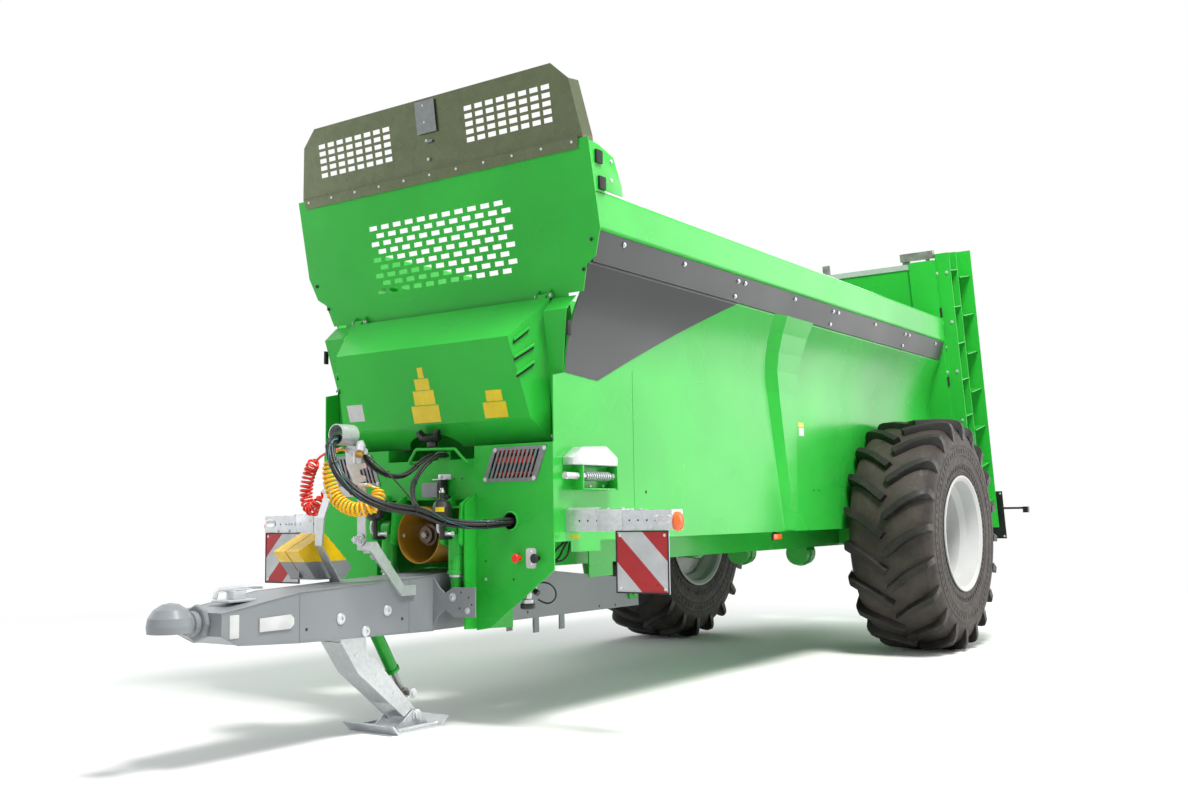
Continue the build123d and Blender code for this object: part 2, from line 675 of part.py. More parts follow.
with BuildPart() as hood:
    add(hood_solid(0))
    add(hood_solid(HOOD_SHEET), mode=Mode.SUBTRACT)
    # Arch for the hose bundle, through the chin
    with BuildSketch(Plane.XZ.offset(-BOARD_Y - 40)):
        with Locations((-60, HOOD_FOOT[1])):
            Ellipse(190, 75)
    extrude(amount=200, mode=Mode.SUBTRACT)
    for side in (1, -1):
        rod(
            (side * 640, hinge_y, hinge_z),
            (side * 700, hinge_y, hinge_z),
            HINGE_RADIUS,
        )
        block((side * 645, side * 695), (HOOD_TOP[0] - 6, hinge_y), (HOOD_TOP[1] - 14, hinge_z - 2))
        rod(
            (side * 630, hinge_y, hinge_z),
            (side * 710, hinge_y, hinge_z),
            HINGE_PIN + FIT,
            mode=Mode.SUBTRACT,
        )
save(hood, "hood")

# ---------------------------------------------------------------- cowl beside the hood
COWL_PLATE = 4.0
COWL_X = [(874, 2096), (807, 1764), (807, 1433)]
cowl_front = [(BOARD_Y + 40, 2176), (BOARD_Y - 47, 2096), (BOARD_Y + 5, 1764), (BOARD_Y + 28, 1433)]
with BuildPart() as cowl:
    for side in (1, -1):
        inner = HOOD_HALF + CLEAR
        band = cowl_front + [(y + COWL_PLATE, z - COWL_PLATE / 2) for y, z in reversed(cowl_front)]
        prism(Plane.YZ.offset(side * inner), band, side * (COWL_X[0][0] - inner))
        prism(
            Plane.XZ.offset(-BOARD_Y - 200),
            [
                (side * 874, 2200), (side * 874, 2096), (side * 807, 1764), (side * 807, 1400),
                (side * 900, 1400), (side * 900, 2200),
            ],
            300,
            mode=Mode.SUBTRACT,
        )
save(cowl, "cowl")

# ---------------------------------------------------------------- front frame below the hood
CONSOLE_PLATE = 8.0
CONSOLE_Y = SIDE_FRONT_Y - GAP - CONSOLE_PLATE
CONSOLE_TOP_Z = 1425.0
MIDDLE_TOP_Z = 1360.0
CHEEK_X = 318.0
CHEEK_PLATE = 10.0
CHEEK_FRONT_Y = BOARD_Y - 186.0
PTO_Z = 967.0
GRILLE_X = 570.0
GRILLE_Z = 1323.0
GRILLE_WIDTH = 350.0
GRILLE_HEIGHT = 156.0
TAB_X = (58.0, 138.0)
TAB_TOP_Z = 1403.0
GRAB_RAIL_Y = BOARD_Y - 150.0
GRAB_RAIL = [
    (-108, CONSOLE_Y + 2, 1342), (-108, GRAB_RAIL_Y, 1350), (-54, GRAB_RAIL_Y, 1421),
    (221, GRAB_RAIL_Y, 1412), (294, GRAB_RAIL_Y, 1345), (294, CONSOLE_Y + 2, 1338),
]
HOSE_HOLE = (545, 1034)
with BuildPart() as front_frame:
    for side in (1, -1):
        with BuildSketch(Plane.XZ.offset(-CONSOLE_Y - CONSOLE_PLATE)):
            with BuildLine():
                Polyline(
                    (side * CHEEK_X, CONSOLE_TOP_Z), (side * SIDE_X, CONSOLE_TOP_Z),
                    (side * SIDE_X, 791), (side * 407, 493), (side * CHEEK_X, 478),
                    close=True,
                )
            make_face()
            with Locations((side * GRILLE_X, GRILLE_Z)):
                Rectangle(GRILLE_WIDTH, GRILLE_HEIGHT, mode=Mode.SUBTRACT)
            if side > 0:
                with Locations(HOSE_HOLE):
                    Circle(42, mode=Mode.SUBTRACT)
        extrude(amount=CONSOLE_PLATE)
        # Cheek beside the drawbar
        prism(
            Plane.YZ.offset(side * (CHEEK_X - CHEEK_PLATE)),
            [
                (CHEEK_FRONT_Y, 490), (BOARD_Y + 200, 470), (BOARD_Y + 200, CONSOLE_TOP_Z),
                (CONSOLE_Y, CONSOLE_TOP_Z), (CONSOLE_Y, 1183), (CHEEK_FRONT_Y, 1118),
            ],
            side * CHEEK_PLATE,
        )
    block(
        (-CHEEK_X + CHEEK_PLATE, CHEEK_X - CHEEK_PLATE),
        (CONSOLE_Y, CONSOLE_Y + CONSOLE_PLATE),
        (1150, MIDDLE_TOP_Z),
    )
    # Tab that holds the hoses coming from under the hood
    block(TAB_X, (CONSOLE_Y, CONSOLE_Y + CONSOLE_PLATE), (MIDDLE_TOP_Z - 5, TAB_TOP_Z))
    # Grab rail across the middle
    with BuildLine() as rail_line:
        FilletPolyline(*GRAB_RAIL, radius=18)
    with BuildSketch(Plane(GRAB_RAIL[0], z_dir=(0, -1, 0))) as rail_section:
        Circle(8)
    sweep(rail_section.sketch, path=rail_line.line)
    with BuildSketch(Plane.XZ.offset(-BOARD_Y - 110)):
        with Locations((0, 1035)):
            Rectangle(2 * (CHEEK_X - CHEEK_PLATE), 500)
        with Locations((0, PTO_Z)):
            Circle(70, mode=Mode.SUBTRACT)
    extrude(amount=10)
save(front_frame, "front_frame")

# ---------------------------------------------------------------- grilles
GRILLE_EDGE = [(367, 1234), (714, 1234), (784, 1411), (440, 1411)]
GRILLE_PLATE = 4.0
GRILLE_SLOTS = 11
GRILLE_SLANT = 55.0
SLOT_WIDTH = 14.0
with BuildPart() as grilles:
    for side in (1, -1):
        with BuildSketch(Plane.XZ.offset(-CONSOLE_Y + GAP)):
            with BuildLine():
                Polyline(*[(side * x, z) for x, z in GRILLE_EDGE], close=True)
            make_face()
            low = GRILLE_Z - GRILLE_HEIGHT / 2 + 7
            high = GRILLE_Z + GRILLE_HEIGHT / 2 - 7
            pitch = (GRILLE_WIDTH - GRILLE_SLANT - SLOT_WIDTH - 10) / (GRILLE_SLOTS - 1)
            for k in range(GRILLE_SLOTS):
                foot = GRILLE_X - GRILLE_WIDTH / 2 + 5 + k * pitch
                with BuildLine():
                    Polyline(
                        (side * foot, low), (side * (foot + SLOT_WIDTH), low),
                        (side * (foot + SLOT_WIDTH + GRILLE_SLANT), high),
                        (side * (foot + GRILLE_SLANT), high),
                        close=True,
                    )
                make_face(mode=Mode.SUBTRACT)
        extrude(amount=GRILLE_PLATE)
save(grilles, "grilles")

# ---------------------------------------------------------------- drawbar
beam_side = [
    (BEAM_FRONT_Y, 568), (BEAM_FRONT_Y + 85, 525), (BOARD_Y - 1130, 505), (BOARD_Y - 243, 483),
    (BEAM_END_Y, 478), (BEAM_END_Y, 645), (BOARD_Y + 300, 788), (BOARD_Y - 243, 763),
    (BOARD_Y - 1130, 729), (BEAM_FRONT_Y, 667),
]
beam_hollow = [
    (BEAM_FRONT_Y + BEAM_WALL + 90, 400), (BEAM_FRONT_Y + BEAM_WALL + 90, 650),
    (BOARD_Y - 1130, 719), (BOARD_Y - 243, 753), (BOARD_Y - 192, 755), (BOARD_Y - 192, 400),
]
with BuildPart() as drawbar:
    prism(Plane.YZ.offset(-BEAM_HALF), beam_side, 2 * BEAM_HALF)
    prism(Plane.YZ.offset(-BEAM_HALF + BEAM_WALL), beam_hollow, 2 * (BEAM_HALF - BEAM_WALL), mode=Mode.SUBTRACT)
    for pin, radius in ((LEG_PIN, 20), (BARREL_PIN, 15)):
        rod((-BEAM_HALF, *pin), (BEAM_HALF, *pin), radius)
    rod((-BEAM_HALF - 30, *PIVOT), (BEAM_HALF + 30, *PIVOT), PIVOT_RADIUS)
    # Brackets that the suspension cylinders stand on
    for side in (1, -1):
        with BuildSketch(Plane.XZ.offset(-BOARD_Y + 237)):
            with BuildLine():
                Polyline(
                    (side * (BEAM_HALF - 2), 500), (side * (BEAM_HALF - 2), 755),
                    (side * 195, 700), (side * 231, 673), (side * 288, 704), (side * 432, 707),
                    (side * 432, 558), (side * 296, 553), (side * 231, 593), (side * 185, 560),
                    close=True,
                )
            make_face()
        extrude(amount=8)
        block((side * (BEAM_HALF - 2), side * 300), (BOARD_Y - 60, BOARD_Y - 52), (560, 725))
        block((side * (BEAM_HALF - 2), side * 300), (BOARD_Y - 238, BOARD_Y - 59), (640, 652))
        for y in (BOARD_Y + 685, BOARD_Y + 935):
            block((side * 92, side * 104), (y - 22, y + 22), (390, 520))
save(drawbar, "drawbar")

HITCH_RADIUS = 97.0
BALL_RADIUS = 40.5
with BuildPart() as hitch:
    # Spoon over the ball, open downward
    with BuildSketch(Plane((0, HITCH_Y, HITCH_Z), x_dir=(0, 1, 0), z_dir=(1, 0, 0))):
        with BuildLine():
            Polyline(
                (BALL_RADIUS, -30), (HITCH_RADIUS - 3, -30), (HITCH_RADIUS, 0), (HITCH_RADIUS - 6, 34),
                (HITCH_RADIUS - 28, 68), (HITCH_RADIUS - 62, 90), (0, 97), (0, BALL_RADIUS),
                (22, 34), (35, 20), (BALL_RADIUS, 0), close=True,
            )
        make_face()
    revolve(axis=Axis((0, HITCH_Y, HITCH_Z), (0, 0, 1)))
    rod((0, HITCH_Y + 75, HITCH_Z), (0, BEAM_FRONT_Y - GAP, HITCH_Z), 46)
save(hitch, "hitch")

# ---------------------------------------------------------------- parking stand
def along(start, end, share):
    """A point part of the way from one (y, z) point to another."""
    return (start[0] + (end[0] - start[0]) * share, start[1] + (end[1] - start[1]) * share)


leg_front = [(BOARD_Y - 800, 560), (BOARD_Y - 803, 470), (BOARD_Y - 690, 312), (BOARD_Y - 345, 40)]
leg_rear = [(BOARD_Y - 262, 60), (BOARD_Y - 576, 374), (BOARD_Y - 626, 388), (BOARD_Y - 650, 560)]
with BuildPart() as stand_leg:
    for side in (1, -1):
        prism(Plane.YZ.offset(side * (LEG_HALF - LEG_PLATE)), leg_front + leg_rear, side * LEG_PLATE)
    inner = LEG_HALF - LEG_PLATE
    prism(
        Plane.YZ.offset(-inner),
        [leg_front[1], leg_front[2], (BOARD_Y - 470, 139), (BOARD_Y - 466, 146),
         (BOARD_Y - 686, 320), (BOARD_Y - 795, 472)],
        2 * inner,
    )
    rod((-LEG_HALF, *LEG_PIN), (LEG_HALF, *LEG_PIN), 32)
    rod((-LEG_HALF - 1, *LEG_PIN), (LEG_HALF + 1, *LEG_PIN), 20 + FIT, mode=Mode.SUBTRACT)
    rod((-LEG_HALF - 1, *FOOT_PIN), (LEG_HALF + 1, *FOOT_PIN), 14 + FIT, mode=Mode.SUBTRACT)
save(stand_leg, "stand_leg")

with BuildPart() as stand_foot:
    foot_low, foot_high = BOARD_Y - 560, BOARD_Y - 150
    prism(
        Plane.YZ.offset(-170),
        [(foot_low, 45), (foot_low + 45, 0), (foot_high - 45, 0), (foot_high, 45),
         (foot_high - 10, 50), (foot_high - 50, 10), (foot_low + 50, 10), (foot_low + 10, 50)],
        340,
    )
    for side in (1, -1):
        prism(
            Plane.YZ.offset(side * (LEG_HALF + CLEAR)),
            [(FOOT_PIN[0] - 150, 8), (FOOT_PIN[0] + 90, 8), (FOOT_PIN[0] + 25, 88), (FOOT_PIN[0] - 25, 88)],
            side * 8,
        )
    rod((-LEG_HALF - CLEAR, *FOOT_PIN), (LEG_HALF + CLEAR, *FOOT_PIN), 14)
save(stand_foot, "stand_foot")

BARREL_SHARE = 0.76
with BuildPart() as stand_barrel:
    rod((0, *BARREL_PIN), (0, *along(BARREL_PIN, ROD_EYE, BARREL_SHARE)), 32)
    rod((-30, *BARREL_PIN), (30, *BARREL_PIN), 30)
    rod((-40, *BARREL_PIN), (40, *BARREL_PIN), 15 + FIT, mode=Mode.SUBTRACT)
    rod(
        (0, *along(BARREL_PIN, ROD_EYE, 0.1)), (0, *along(BARREL_PIN, ROD_EYE, BARREL_SHARE + 0.02)),
        16 + FIT, mode=Mode.SUBTRACT,
    )
save(stand_barrel, "stand_barrel")
with BuildPart() as stand_rod:
    rod((0, *along(BARREL_PIN, ROD_EYE, 0.42)), (0, *ROD_EYE), 16)
    rod((-22, *ROD_EYE), (22, *ROD_EYE), 26)
    rod((-LEG_HALF + LEG_PLATE + CLEAR, *ROD_EYE), (LEG_HALF - LEG_PLATE - CLEAR, *ROD_EYE), 12)
save(stand_rod, "stand_rod")

# ---------------------------------------------------------------- front suspension cylinders
CYLINDER_X = 238.0
CYLINDER_Y = BOARD_Y - 160.0
with BuildPart() as suspension_cylinders:
    for side in (1, -1):
        x = side * CYLINDER_X
        rod((x, CYLINDER_Y, 765), (x, CYLINDER_Y, 975), 44)
        rod((x, CYLINDER_Y, 652 + GAP), (x, CYLINDER_Y, 765), 32)
        rod((x - 30, CYLINDER_Y, 1005), (x + 30, CYLINDER_Y, 1005), 40)
save(suspension_cylinders, "suspension_cylinders")

with BuildPart() as cylinder_brackets:
    for side in (1, -1):
        for x in (side * (CYLINDER_X + 60), side * (CYLINDER_X - 60)):
            prism(
                Plane.YZ.offset(x - 5),
                [(CONSOLE_Y - GAP, 900), (CONSOLE_Y - GAP, 1177), (BOARD_Y - 200, 1125), (BOARD_Y - 215, 925),
                 (BOARD_Y - 195, 915)],
                10,
            )
        block(
            (side * (CYLINDER_X - 55), side * (CYLINDER_X + 55)),
            (BOARD_Y - 200, CONSOLE_Y - GAP), (1105, 1115),
        )
        rod(
            (side * (CYLINDER_X - 60), CYLINDER_Y, 1005), (side * (CYLINDER_X - 30) - side * GAP, CYLINDER_Y, 1005), 18
        )
        rod(
            (side * (CYLINDER_X + 60), CYLINDER_Y, 1005), (side * (CYLINDER_X + 30 + GAP), CYLINDER_Y, 1005), 18
        )
save(cylinder_brackets, "cylinder_brackets")

# ---------------------------------------------------------------- drive input
PTO_RADIUS = 17.3
with BuildPart() as pto_guard:
    with BuildSketch(Plane.XZ.offset(-BOARD_Y - 100 + GAP)):
        with Locations((0, PTO_Z)):
            Circle(150)
            Circle(144, mode=Mode.SUBTRACT)
    extrude(amount=290)
save(pto_guard, "pto_guard")
with BuildPart() as pto_shaft:
    rod((0, BOARD_Y - 100, PTO_Z), (0, BOARD_Y + 260, PTO_Z), PTO_RADIUS)
    rod((0, BOARD_Y + 30, PTO_Z), (0, BOARD_Y + 90, PTO_Z), 45)
save(pto_shaft, "pto_shaft")

# ---------------------------------------------------------------- marker boards on telescopic arms
ARM_TOP_Z = 1086.0
ARM_FOOT_Z = 976.0
ARM_END_X = 1440.0
BOARD_SIZE = 300.0
BOARD_MIDDLE = (1274.0, 831.0)
with BuildPart() as marker_arms:
    for side in (1, -1):
        block((side * (SIDE_X + GAP), side * 1160), (BOARD_Y + GAP, BOARD_Y + 105), (ARM_FOOT_Z, ARM_TOP_Z))
        block((side * 1160, side * ARM_END_X), (BOARD_Y + GAP, BOARD_Y + 99), (ARM_FOOT_Z + 6, ARM_TOP_Z - 6))
save(marker_arms, "marker_arms")
with BuildPart() as marker_boards:
    for side in (1, -1):
        with Locations((side * BOARD_MIDDLE[0], BOARD_Y - 3, BOARD_MIDDLE[1])):
            Box(BOARD_SIZE, 6, BOARD_SIZE)
save(marker_boards, "marker_boards")
with BuildPart() as marker_lamps:
    for side in (1, -1):
        rod((side * (ARM_END_X + GAP), BOARD_Y + 50, 1022), (side * (ARM_END_X + 22), BOARD_Y + 50, 1022), 48)
save(marker_lamps, "marker_lamps")

# ---------------------------------------------------------------- chain tensioners
with BuildPart() as tensioners:
    for side in (1, -1):
        x = side * (SIDE_X + GAP)
        block((x, side * (SIDE_X + 70)), (BOARD_Y + 60, BOARD_Y + 70), (1186, 1310))
        block((x, side * (SIDE_X + 70)), (BOARD_Y + 370, BOARD_Y + 380), (1186, 1310))
        block((x, side * (SIDE_X + 8)), (BOARD_Y + 60, BOARD_Y + 380), (1186, 1310))
        rod((side * (SIDE_X + 40), BOARD_Y - 60, 1257), (side * (SIDE_X + 40), BOARD_Y + 370, 1257), 12)
        prism(
            Plane.YZ.offset(x),
            [(BOARD_Y - 20, 1310), (BOARD_Y - 20, 1350), (BOARD_Y + 65, 1403), (BOARD_Y + 282, 1412),
             (BOARD_Y + 385, 1355), (BOARD_Y + 385, 1310)],
            side * 66,
        )
save(tensioners, "tensioners")

# ---------------------------------------------------------------- tailgate and its posts
LIP = 8.0
GATE_FOOT = 105.0
POST_FOOT = -70.0
ROD_X = 930.0
ROD_DEPTH = 48.0
ROD_RADIUS = 18.0
HEAD_FOOT = POST_TOP + 14
with BuildPart() as rear_posts:
    for side in (1, -1):
        column((side * (GATE_HALF - 28), side * POST_X), (0, LIP), POST_FOOT, POST_TOP)
        column((side * (GATE_HALF + CLEAR), side * (GATE_HALF + CLEAR + 8)), (LIP, POST_DEPTH - LIP), POST_FOOT, POST_TOP)
        column((side * (GATE_HALF - 28), side * (GATE_HALF + CLEAR + 8)), (POST_DEPTH - LIP, POST_DEPTH), POST_FOOT, POST_TOP)
        column((side * (POST_X - LIP), side * POST_X), (LIP, POST_DEPTH), POST_FOOT, POST_TOP)
        column((side * (ROD_X - 50), side * (POST_X - LIP)), (LIP, POST_DEPTH), 660, 690)
save(rear_posts, "rear_posts")

with BuildPart() as gate_cylinders:
    for side in (1, -1):
        leaning_rod(side * ROD_X, ROD_DEPTH, 690 + GAP, POST_TOP - 20, 36)
        leaning_rod(side * ROD_X, ROD_DEPTH, 730, POST_TOP - 50, 24, mode=Mode.SUBTRACT)
        leaning_rod(side * ROD_X, ROD_DEPTH, POST_TOP - 60, POST_TOP, ROD_RADIUS + FIT, mode=Mode.SUBTRACT)
save(gate_cylinders, "gate_cylinders")

with BuildPart() as tailgate:
    column((-GATE_HALF + 2, GATE_HALF - 2), (24, 30), GATE_FOOT, GATE_TOP - 45)
    for side in (1, -1):
        column((side * (GATE_HALF - 24), side * GATE_HALF), (LIP + CLEAR, POST_DEPTH - LIP - CLEAR), GATE_FOOT, GATE_TOP - 45)
    for height in (GATE_FOOT, 620, 1120, 1620, 1990):
        column((-GATE_HALF + 24, GATE_HALF - 24), (30, 58), height, height + 50)
save(tailgate, "tailgate")
with BuildPart() as tailgate_cap:
    column((-GATE_HALF, GATE_HALF), (LIP + CLEAR, POST_DEPTH - LIP - CLEAR), GATE_TOP - 45 + GAP, GATE_TOP)
save(tailgate_cap, "tailgate_cap")
with BuildPart() as tailgate_lift:
    for side in (1, -1):
        column((side * 700, side * 766), (POST_DEPTH - LIP - CLEAR + GAP, 70), 2050, HEAD_FOOT + 70)
        column((side * 700, side * 990), (LIP + 4, 68), HEAD_FOOT, HEAD_FOOT + 70)
        leaning_rod(side * ROD_X, ROD_DEPTH, HEAD_FOOT - GATE_TRAVEL - 120, HEAD_FOOT + 5, ROD_RADIUS)
    column((-35, 35), (24, 34), GATE_TOP + GAP, GATE_TOP + 85)
save(tailgate_lift, "tailgate_lift")

# ---------------------------------------------------------------- beater frame
WALL_X = 985.0
FRAME_FRONT = POST_DEPTH + GAP
FRAME_REAR = 640.0
FRAME_FOOT = -240.0
FRAME_TOP = 2290.0
for side, name in ((1, "left_beater_frame"), (-1, "right_beater_frame")):
    with BuildPart() as frame_side:
        column((side * WALL_X, side * (WALL_X + PLATE)), (FRAME_FRONT, FRAME_REAR), FRAME_FOOT, FRAME_TOP)
        for depth, reach in ((FRAME_FRONT, 125), (330, 105), (FRAME_REAR - 8, 140)):
            column((side * WALL_X, side * (WALL_X + reach)), (depth, depth + 8), FRAME_FOOT, FRAME_TOP)
        for k in range(8):
            height = FRAME_FOOT + 130 + k * 320
            column((side * WALL_X, side * (WALL_X + 105)), (FRAME_FRONT, 338), height, height + 8)
        for k in range(7):
            height = FRAME_FOOT + 260 + k * 340
            column((side * WALL_X, side * (WALL_X + 120)), (330, FRAME_REAR), height, height + 8)
    save(frame_side, name)

BEAM_LOW = BEATER_TOP + 30
with BuildPart() as top_beam:
    column((-WALL_X + GAP, WALL_X - GAP), (BEATER_DEPTH - 60, BEATER_DEPTH + 50), BEAM_LOW, BEAM_LOW + 90)
    column((-WALL_X + 8, WALL_X - 8), (BEATER_DEPTH - 52, BEATER_DEPTH + 42), BEAM_LOW + 8, BEAM_LOW + 82, mode=Mode.SUBTRACT)
    for side in (1, -1):
        leaning_rod(side * BEATER_X, BEATER_DEPTH, BEAM_LOW - 20, BEAM_LOW + 8, 60)
        leaning_rod(side * BEATER_X, BEATER_DEPTH, BEAM_LOW - 30, BEAM_LOW + 9, 30 + FIT, mode=Mode.SUBTRACT)
save(top_beam, "top_beam")

BOX_TOP = -90.0
with BuildPart() as beater_gearbox:
    column((-WALL_X + GAP, WALL_X - GAP), (BEATER_DEPTH - 110, BEATER_DEPTH + 60), BOX_TOP - 140, BOX_TOP)
    for side in (1, -1):
        leaning_rod(side * BEATER_X, BEATER_DEPTH, BOX_TOP, -20, 110)
        leaning_rod(side * BEATER_X, BEATER_DEPTH, BOX_TOP - 60, -19, 40 + FIT, mode=Mode.SUBTRACT)
        block((side * BEAM_X - 40, side * BEAM_X + 40), (GATE_Y + 90 + GAP, GATE_Y + 520), (790, 900))
save(beater_gearbox, "beater_gearbox")

FLIGHT_PITCH = 800.0
FLIGHTS_PER_TURN = 6
FLIGHT_RADIUS = 410.0
FLIGHT_TILT = 18.0
for side, name in ((1, "left_beater"), (-1, "right_beater")):
    half_step = 180 / FLIGHTS_PER_TURN
    with BuildPart() as flight:
        prism(
            Plane.XY.offset(-4),
            [(70, -60), (FLIGHT_RADIUS * cos(radians(half_step)), -FLIGHT_RADIUS * sin(radians(half_step))),
             (FLIGHT_RADIUS + 10, 0),
             (FLIGHT_RADIUS * cos(radians(half_step)), FLIGHT_RADIUS * sin(radians(half_step))), (70, 60)],
            8,
        )
        block((FLIGHT_RADIUS - 60, BEATER_RADIUS - 5), (-30, 30), (-4, 16))
    tilted = flight.part.rotate(Axis.X, side * FLIGHT_TILT)
    count = int((BEATER_TOP - 160) / (FLIGHT_PITCH / FLIGHTS_PER_TURN))
    blades = []
    for start in (0, 180):
        for k in range(count - 1):
            height = 110 + k * FLIGHT_PITCH / FLIGHTS_PER_TURN
            turned = tilted.rotate(Axis.Z, start + side * k * 360 / FLIGHTS_PER_TURN)
            blades.append(turned.moved(Location((0, 0, height))))
    with BuildPart() as beater:
        with Locations((0, 0, 20)):
            Cylinder(BEATER_CORE, BEATER_TOP - 20, align=(Align.CENTER, Align.CENTER, Align.MIN))
        with Locations((0, 0, 0)):
            Cylinder(DISC_RADIUS, 10, align=(Align.CENTER, Align.CENTER, Align.MIN))
            Cylinder(130, 30, align=(Align.CENTER, Align.CENTER, Align.MIN))
        for k in range(4):
            with Locations(Location((0, 0, 0), (0, 0, 45 + k * 90))):
                Box(DISC_RADIUS - 10, 8, 60, align=(Align.MIN, Align.CENTER, Align.MIN))
        with Locations((0, 0, BOX_TOP - 50)):
            Cylinder(40, -BOX_TOP + 55, align=(Align.CENTER, Align.CENTER, Align.MIN))
        with Locations((0, 0, BEATER_TOP - 5)):
            Cylinder(30, 38, align=(Align.CENTER, Align.CENTER, Align.MIN))
        add(blades)
    with BuildPart() as placed_beater:
        add(beater.part.moved(gate_plane.location * Location((side * BEATER_X, BEATER_DEPTH, 0))))
    save(placed_beater, name)

# ---------------------------------------------------------------- rear light boards
with BuildPart() as light_boards:
    for side in (1, -1):
        column((side * 985, side * 1170), (682, 690), -355, 84)
        column((side * 1010, side * 1100), (FRAME_REAR + GAP, 682), -180, -100)
save(light_boards, "light_boards")

LAMP_Z = 1062.0
LAMP_ARM_RADIUS = 10.0
with BuildPart() as lamp_arms:
    for side in (1, -1):
        up_board = (LAMP_Z - GATE_Z - 690 * sin(gate_angle)) / cos(gate_angle)
        face_y = GATE_Y + 690 * cos(gate_angle) - up_board * sin(gate_angle)
        arm_y = face_y + (LAMP_ARM_RADIUS + GAP) / cos(gate_angle)
        rod((side * 1090, arm_y, LAMP_Z), (side * 1348, arm_y, LAMP_Z), LAMP_ARM_RADIUS)
        block((side * 1340, side * 1385), (arm_y - 22, arm_y + 28), (LAMP_Z - 42, LAMP_Z + 12))
save(lamp_arms, "lamp_arms")

# ---------------------------------------------------------------- brake chambers
CHAMBER_X = 260.0
CHAMBER_Z = 735.0
CHAMBER_RADIUS = 92.0
chamber_rear = AXLE_Y - AXLE_SIZE / 2 - 170
with BuildPart() as brake_chambers:
    for side in (1, -1):
        x = side * CHAMBER_X
        rod((x, chamber_rear - 150, CHAMBER_Z), (x, chamber_rear, CHAMBER_Z), CHAMBER_RADIUS)
        rod((x, chamber_rear - 88, CHAMBER_Z), (x, chamber_rear - 66, CHAMBER_Z), CHAMBER_RADIUS + 9)
        rod((x, chamber_rear - 5, CHAMBER_Z), (x, chamber_rear + 130, CHAMBER_Z), 14)
        block(
            (x - 60, x + 60),
            (chamber_rear - 2, chamber_rear + 10),
            (CHAMBER_Z - 50, AXLE_Z + 40),
        )
        block(
            (x - 60, x + 60),
            (chamber_rear + 8, AXLE_Y - AXLE_SIZE / 2 - GAP),
            (AXLE_Z + 10, AXLE_Z + 22),
        )
save(brake_chambers, "brake_chambers")

# ---------------------------------------------------------------- accumulators
ACCUMULATOR_Y = BOARD_Y - 270.0
with BuildPart() as accumulators:
    for side in (1, -1):
        x = side * CYLINDER_X
        with BuildSketch(Plane((x, ACCUMULATOR_Y, 1045), x_dir=(1, 0, 0), z_dir=(0, -1, 0))):
            with BuildLine():
                Polyline(
                    (0, 0), (30, 0), (45, 14), (50, 36), (50, 66), (40, 92), (16, 106), (14, 138),
                    (0, 138), close=True,
                )
            make_face()
        revolve(axis=Axis((x, ACCUMULATOR_Y, 1045), (0, 0, 1)))
        # Elbow from the base to the cylinder's port
        rod((x, ACCUMULATOR_Y, 1050), (x, ACCUMULATOR_Y, 945), 13)
        rod((x, ACCUMULATOR_Y - 12, 955), (x, CYLINDER_Y - 44 - GAP, 955), 11)
save(accumulators, "accumulators")

# ---------------------------------------------------------------- hose holder on the drawbar
HOLDER_Y = BOARD_Y - 700.0
STRAP = 7.0
RING_MIDDLE = (25.0, 1468.0)           # hose ring, as (x, z)
RING_RADIUS = 52.0
RING_BORE = 47.0
RING_FRONT_Y = BOARD_Y - 800.0
LEFT_STRAP = [(0, 1215), (-30, 1192), (-82, 1065), (-96, 929), (27, 0)]
COMB_TOP_Z = RING_MIDDLE[1] - RING_RADIUS - GAP
COMB_EDGE = [
    (125, 1165), (125, 1200), (96, 1206), (90, 1232), (124, 1240), (126, 1262), (88, 1272), (84, 1296),
    (130, 1306), (122, 1326), (60, 1336), (52, COMB_TOP_Z), (-2, COMB_TOP_Z), (-16, 1400), (-6, 1316),
    (36, 1250), (40, 1165),
]


def beam_top(y):
    """Height of the drawbar's top between its bend and its rear."""
    front, rear = beam_side[8], beam_side[7]
    return front[1] + (y - front[0]) * (rear[1] - front[1]) / (rear[0] - front[0])


with BuildPart() as hose_holder:
    # Left strap, bent to stand on the drawbar
    front_edge = [(HOLDER_Y + y, z) for y, z in LEFT_STRAP[:-1]]
    foot_y = HOLDER_Y + LEFT_STRAP[-1][0]
    rear_edge = [(y + STRAP + 2, z) for y, z in reversed(front_edge)]
    foot = [
        (foot_y, beam_top(foot_y) + GAP), (foot_y + 60, beam_top(foot_y + 60) + GAP),
        (foot_y + 60, beam_top(foot_y + 60) + 7), (foot_y + STRAP, beam_top(foot_y) + 9),
    ]
    prism(Plane.YZ.offset(-125), front_edge + foot + rear_edge, 50)
    # Right strap and its knee, bolted to the drawbar's side
    block((70, 125), (HOLDER_Y, HOLDER_Y + STRAP), (905, 1215))
    block((100, BEAM_HALF + 14), (HOLDER_Y, HOLDER_Y + STRAP), (905, 945))
    prism(
        Plane.YZ.offset(BEAM_HALF + GAP),
        [
            (HOLDER_Y, 945), (HOLDER_Y, 900), (HOLDER_Y + 215, 672), (HOLDER_Y + 315, 672),
            (HOLDER_Y + 315, 722), (HOLDER_Y + 232, 722), (HOLDER_Y + 40, 945),
        ],
        14,
    )
    # Cross strap and comb plate
    block((-125, 125), (HOLDER_Y, HOLDER_Y + STRAP), (1165, 1215))
    prism(Plane.XZ.offset(-HOLDER_Y - 5), [(x, z) for x, z in COMB_EDGE], 5)
    # Valve block and the parked coupling heads of the air lines
    rod((40, HOLDER_Y - 12, 1384), (140, HOLDER_Y - 12, 1384), 15)
    rod((88, HOLDER_Y - 14, 1400), (88, HOLDER_Y - 14, 1326), 23)
    rod((132, HOLDER_Y - 2, 1219), (92, HOLDER_Y - 2, 1219), 11)
    rod((-155, HOLDER_Y + 4, 1196), (-110, HOLDER_Y + 4, 1196), 11)
save(hose_holder, "hose_holder")

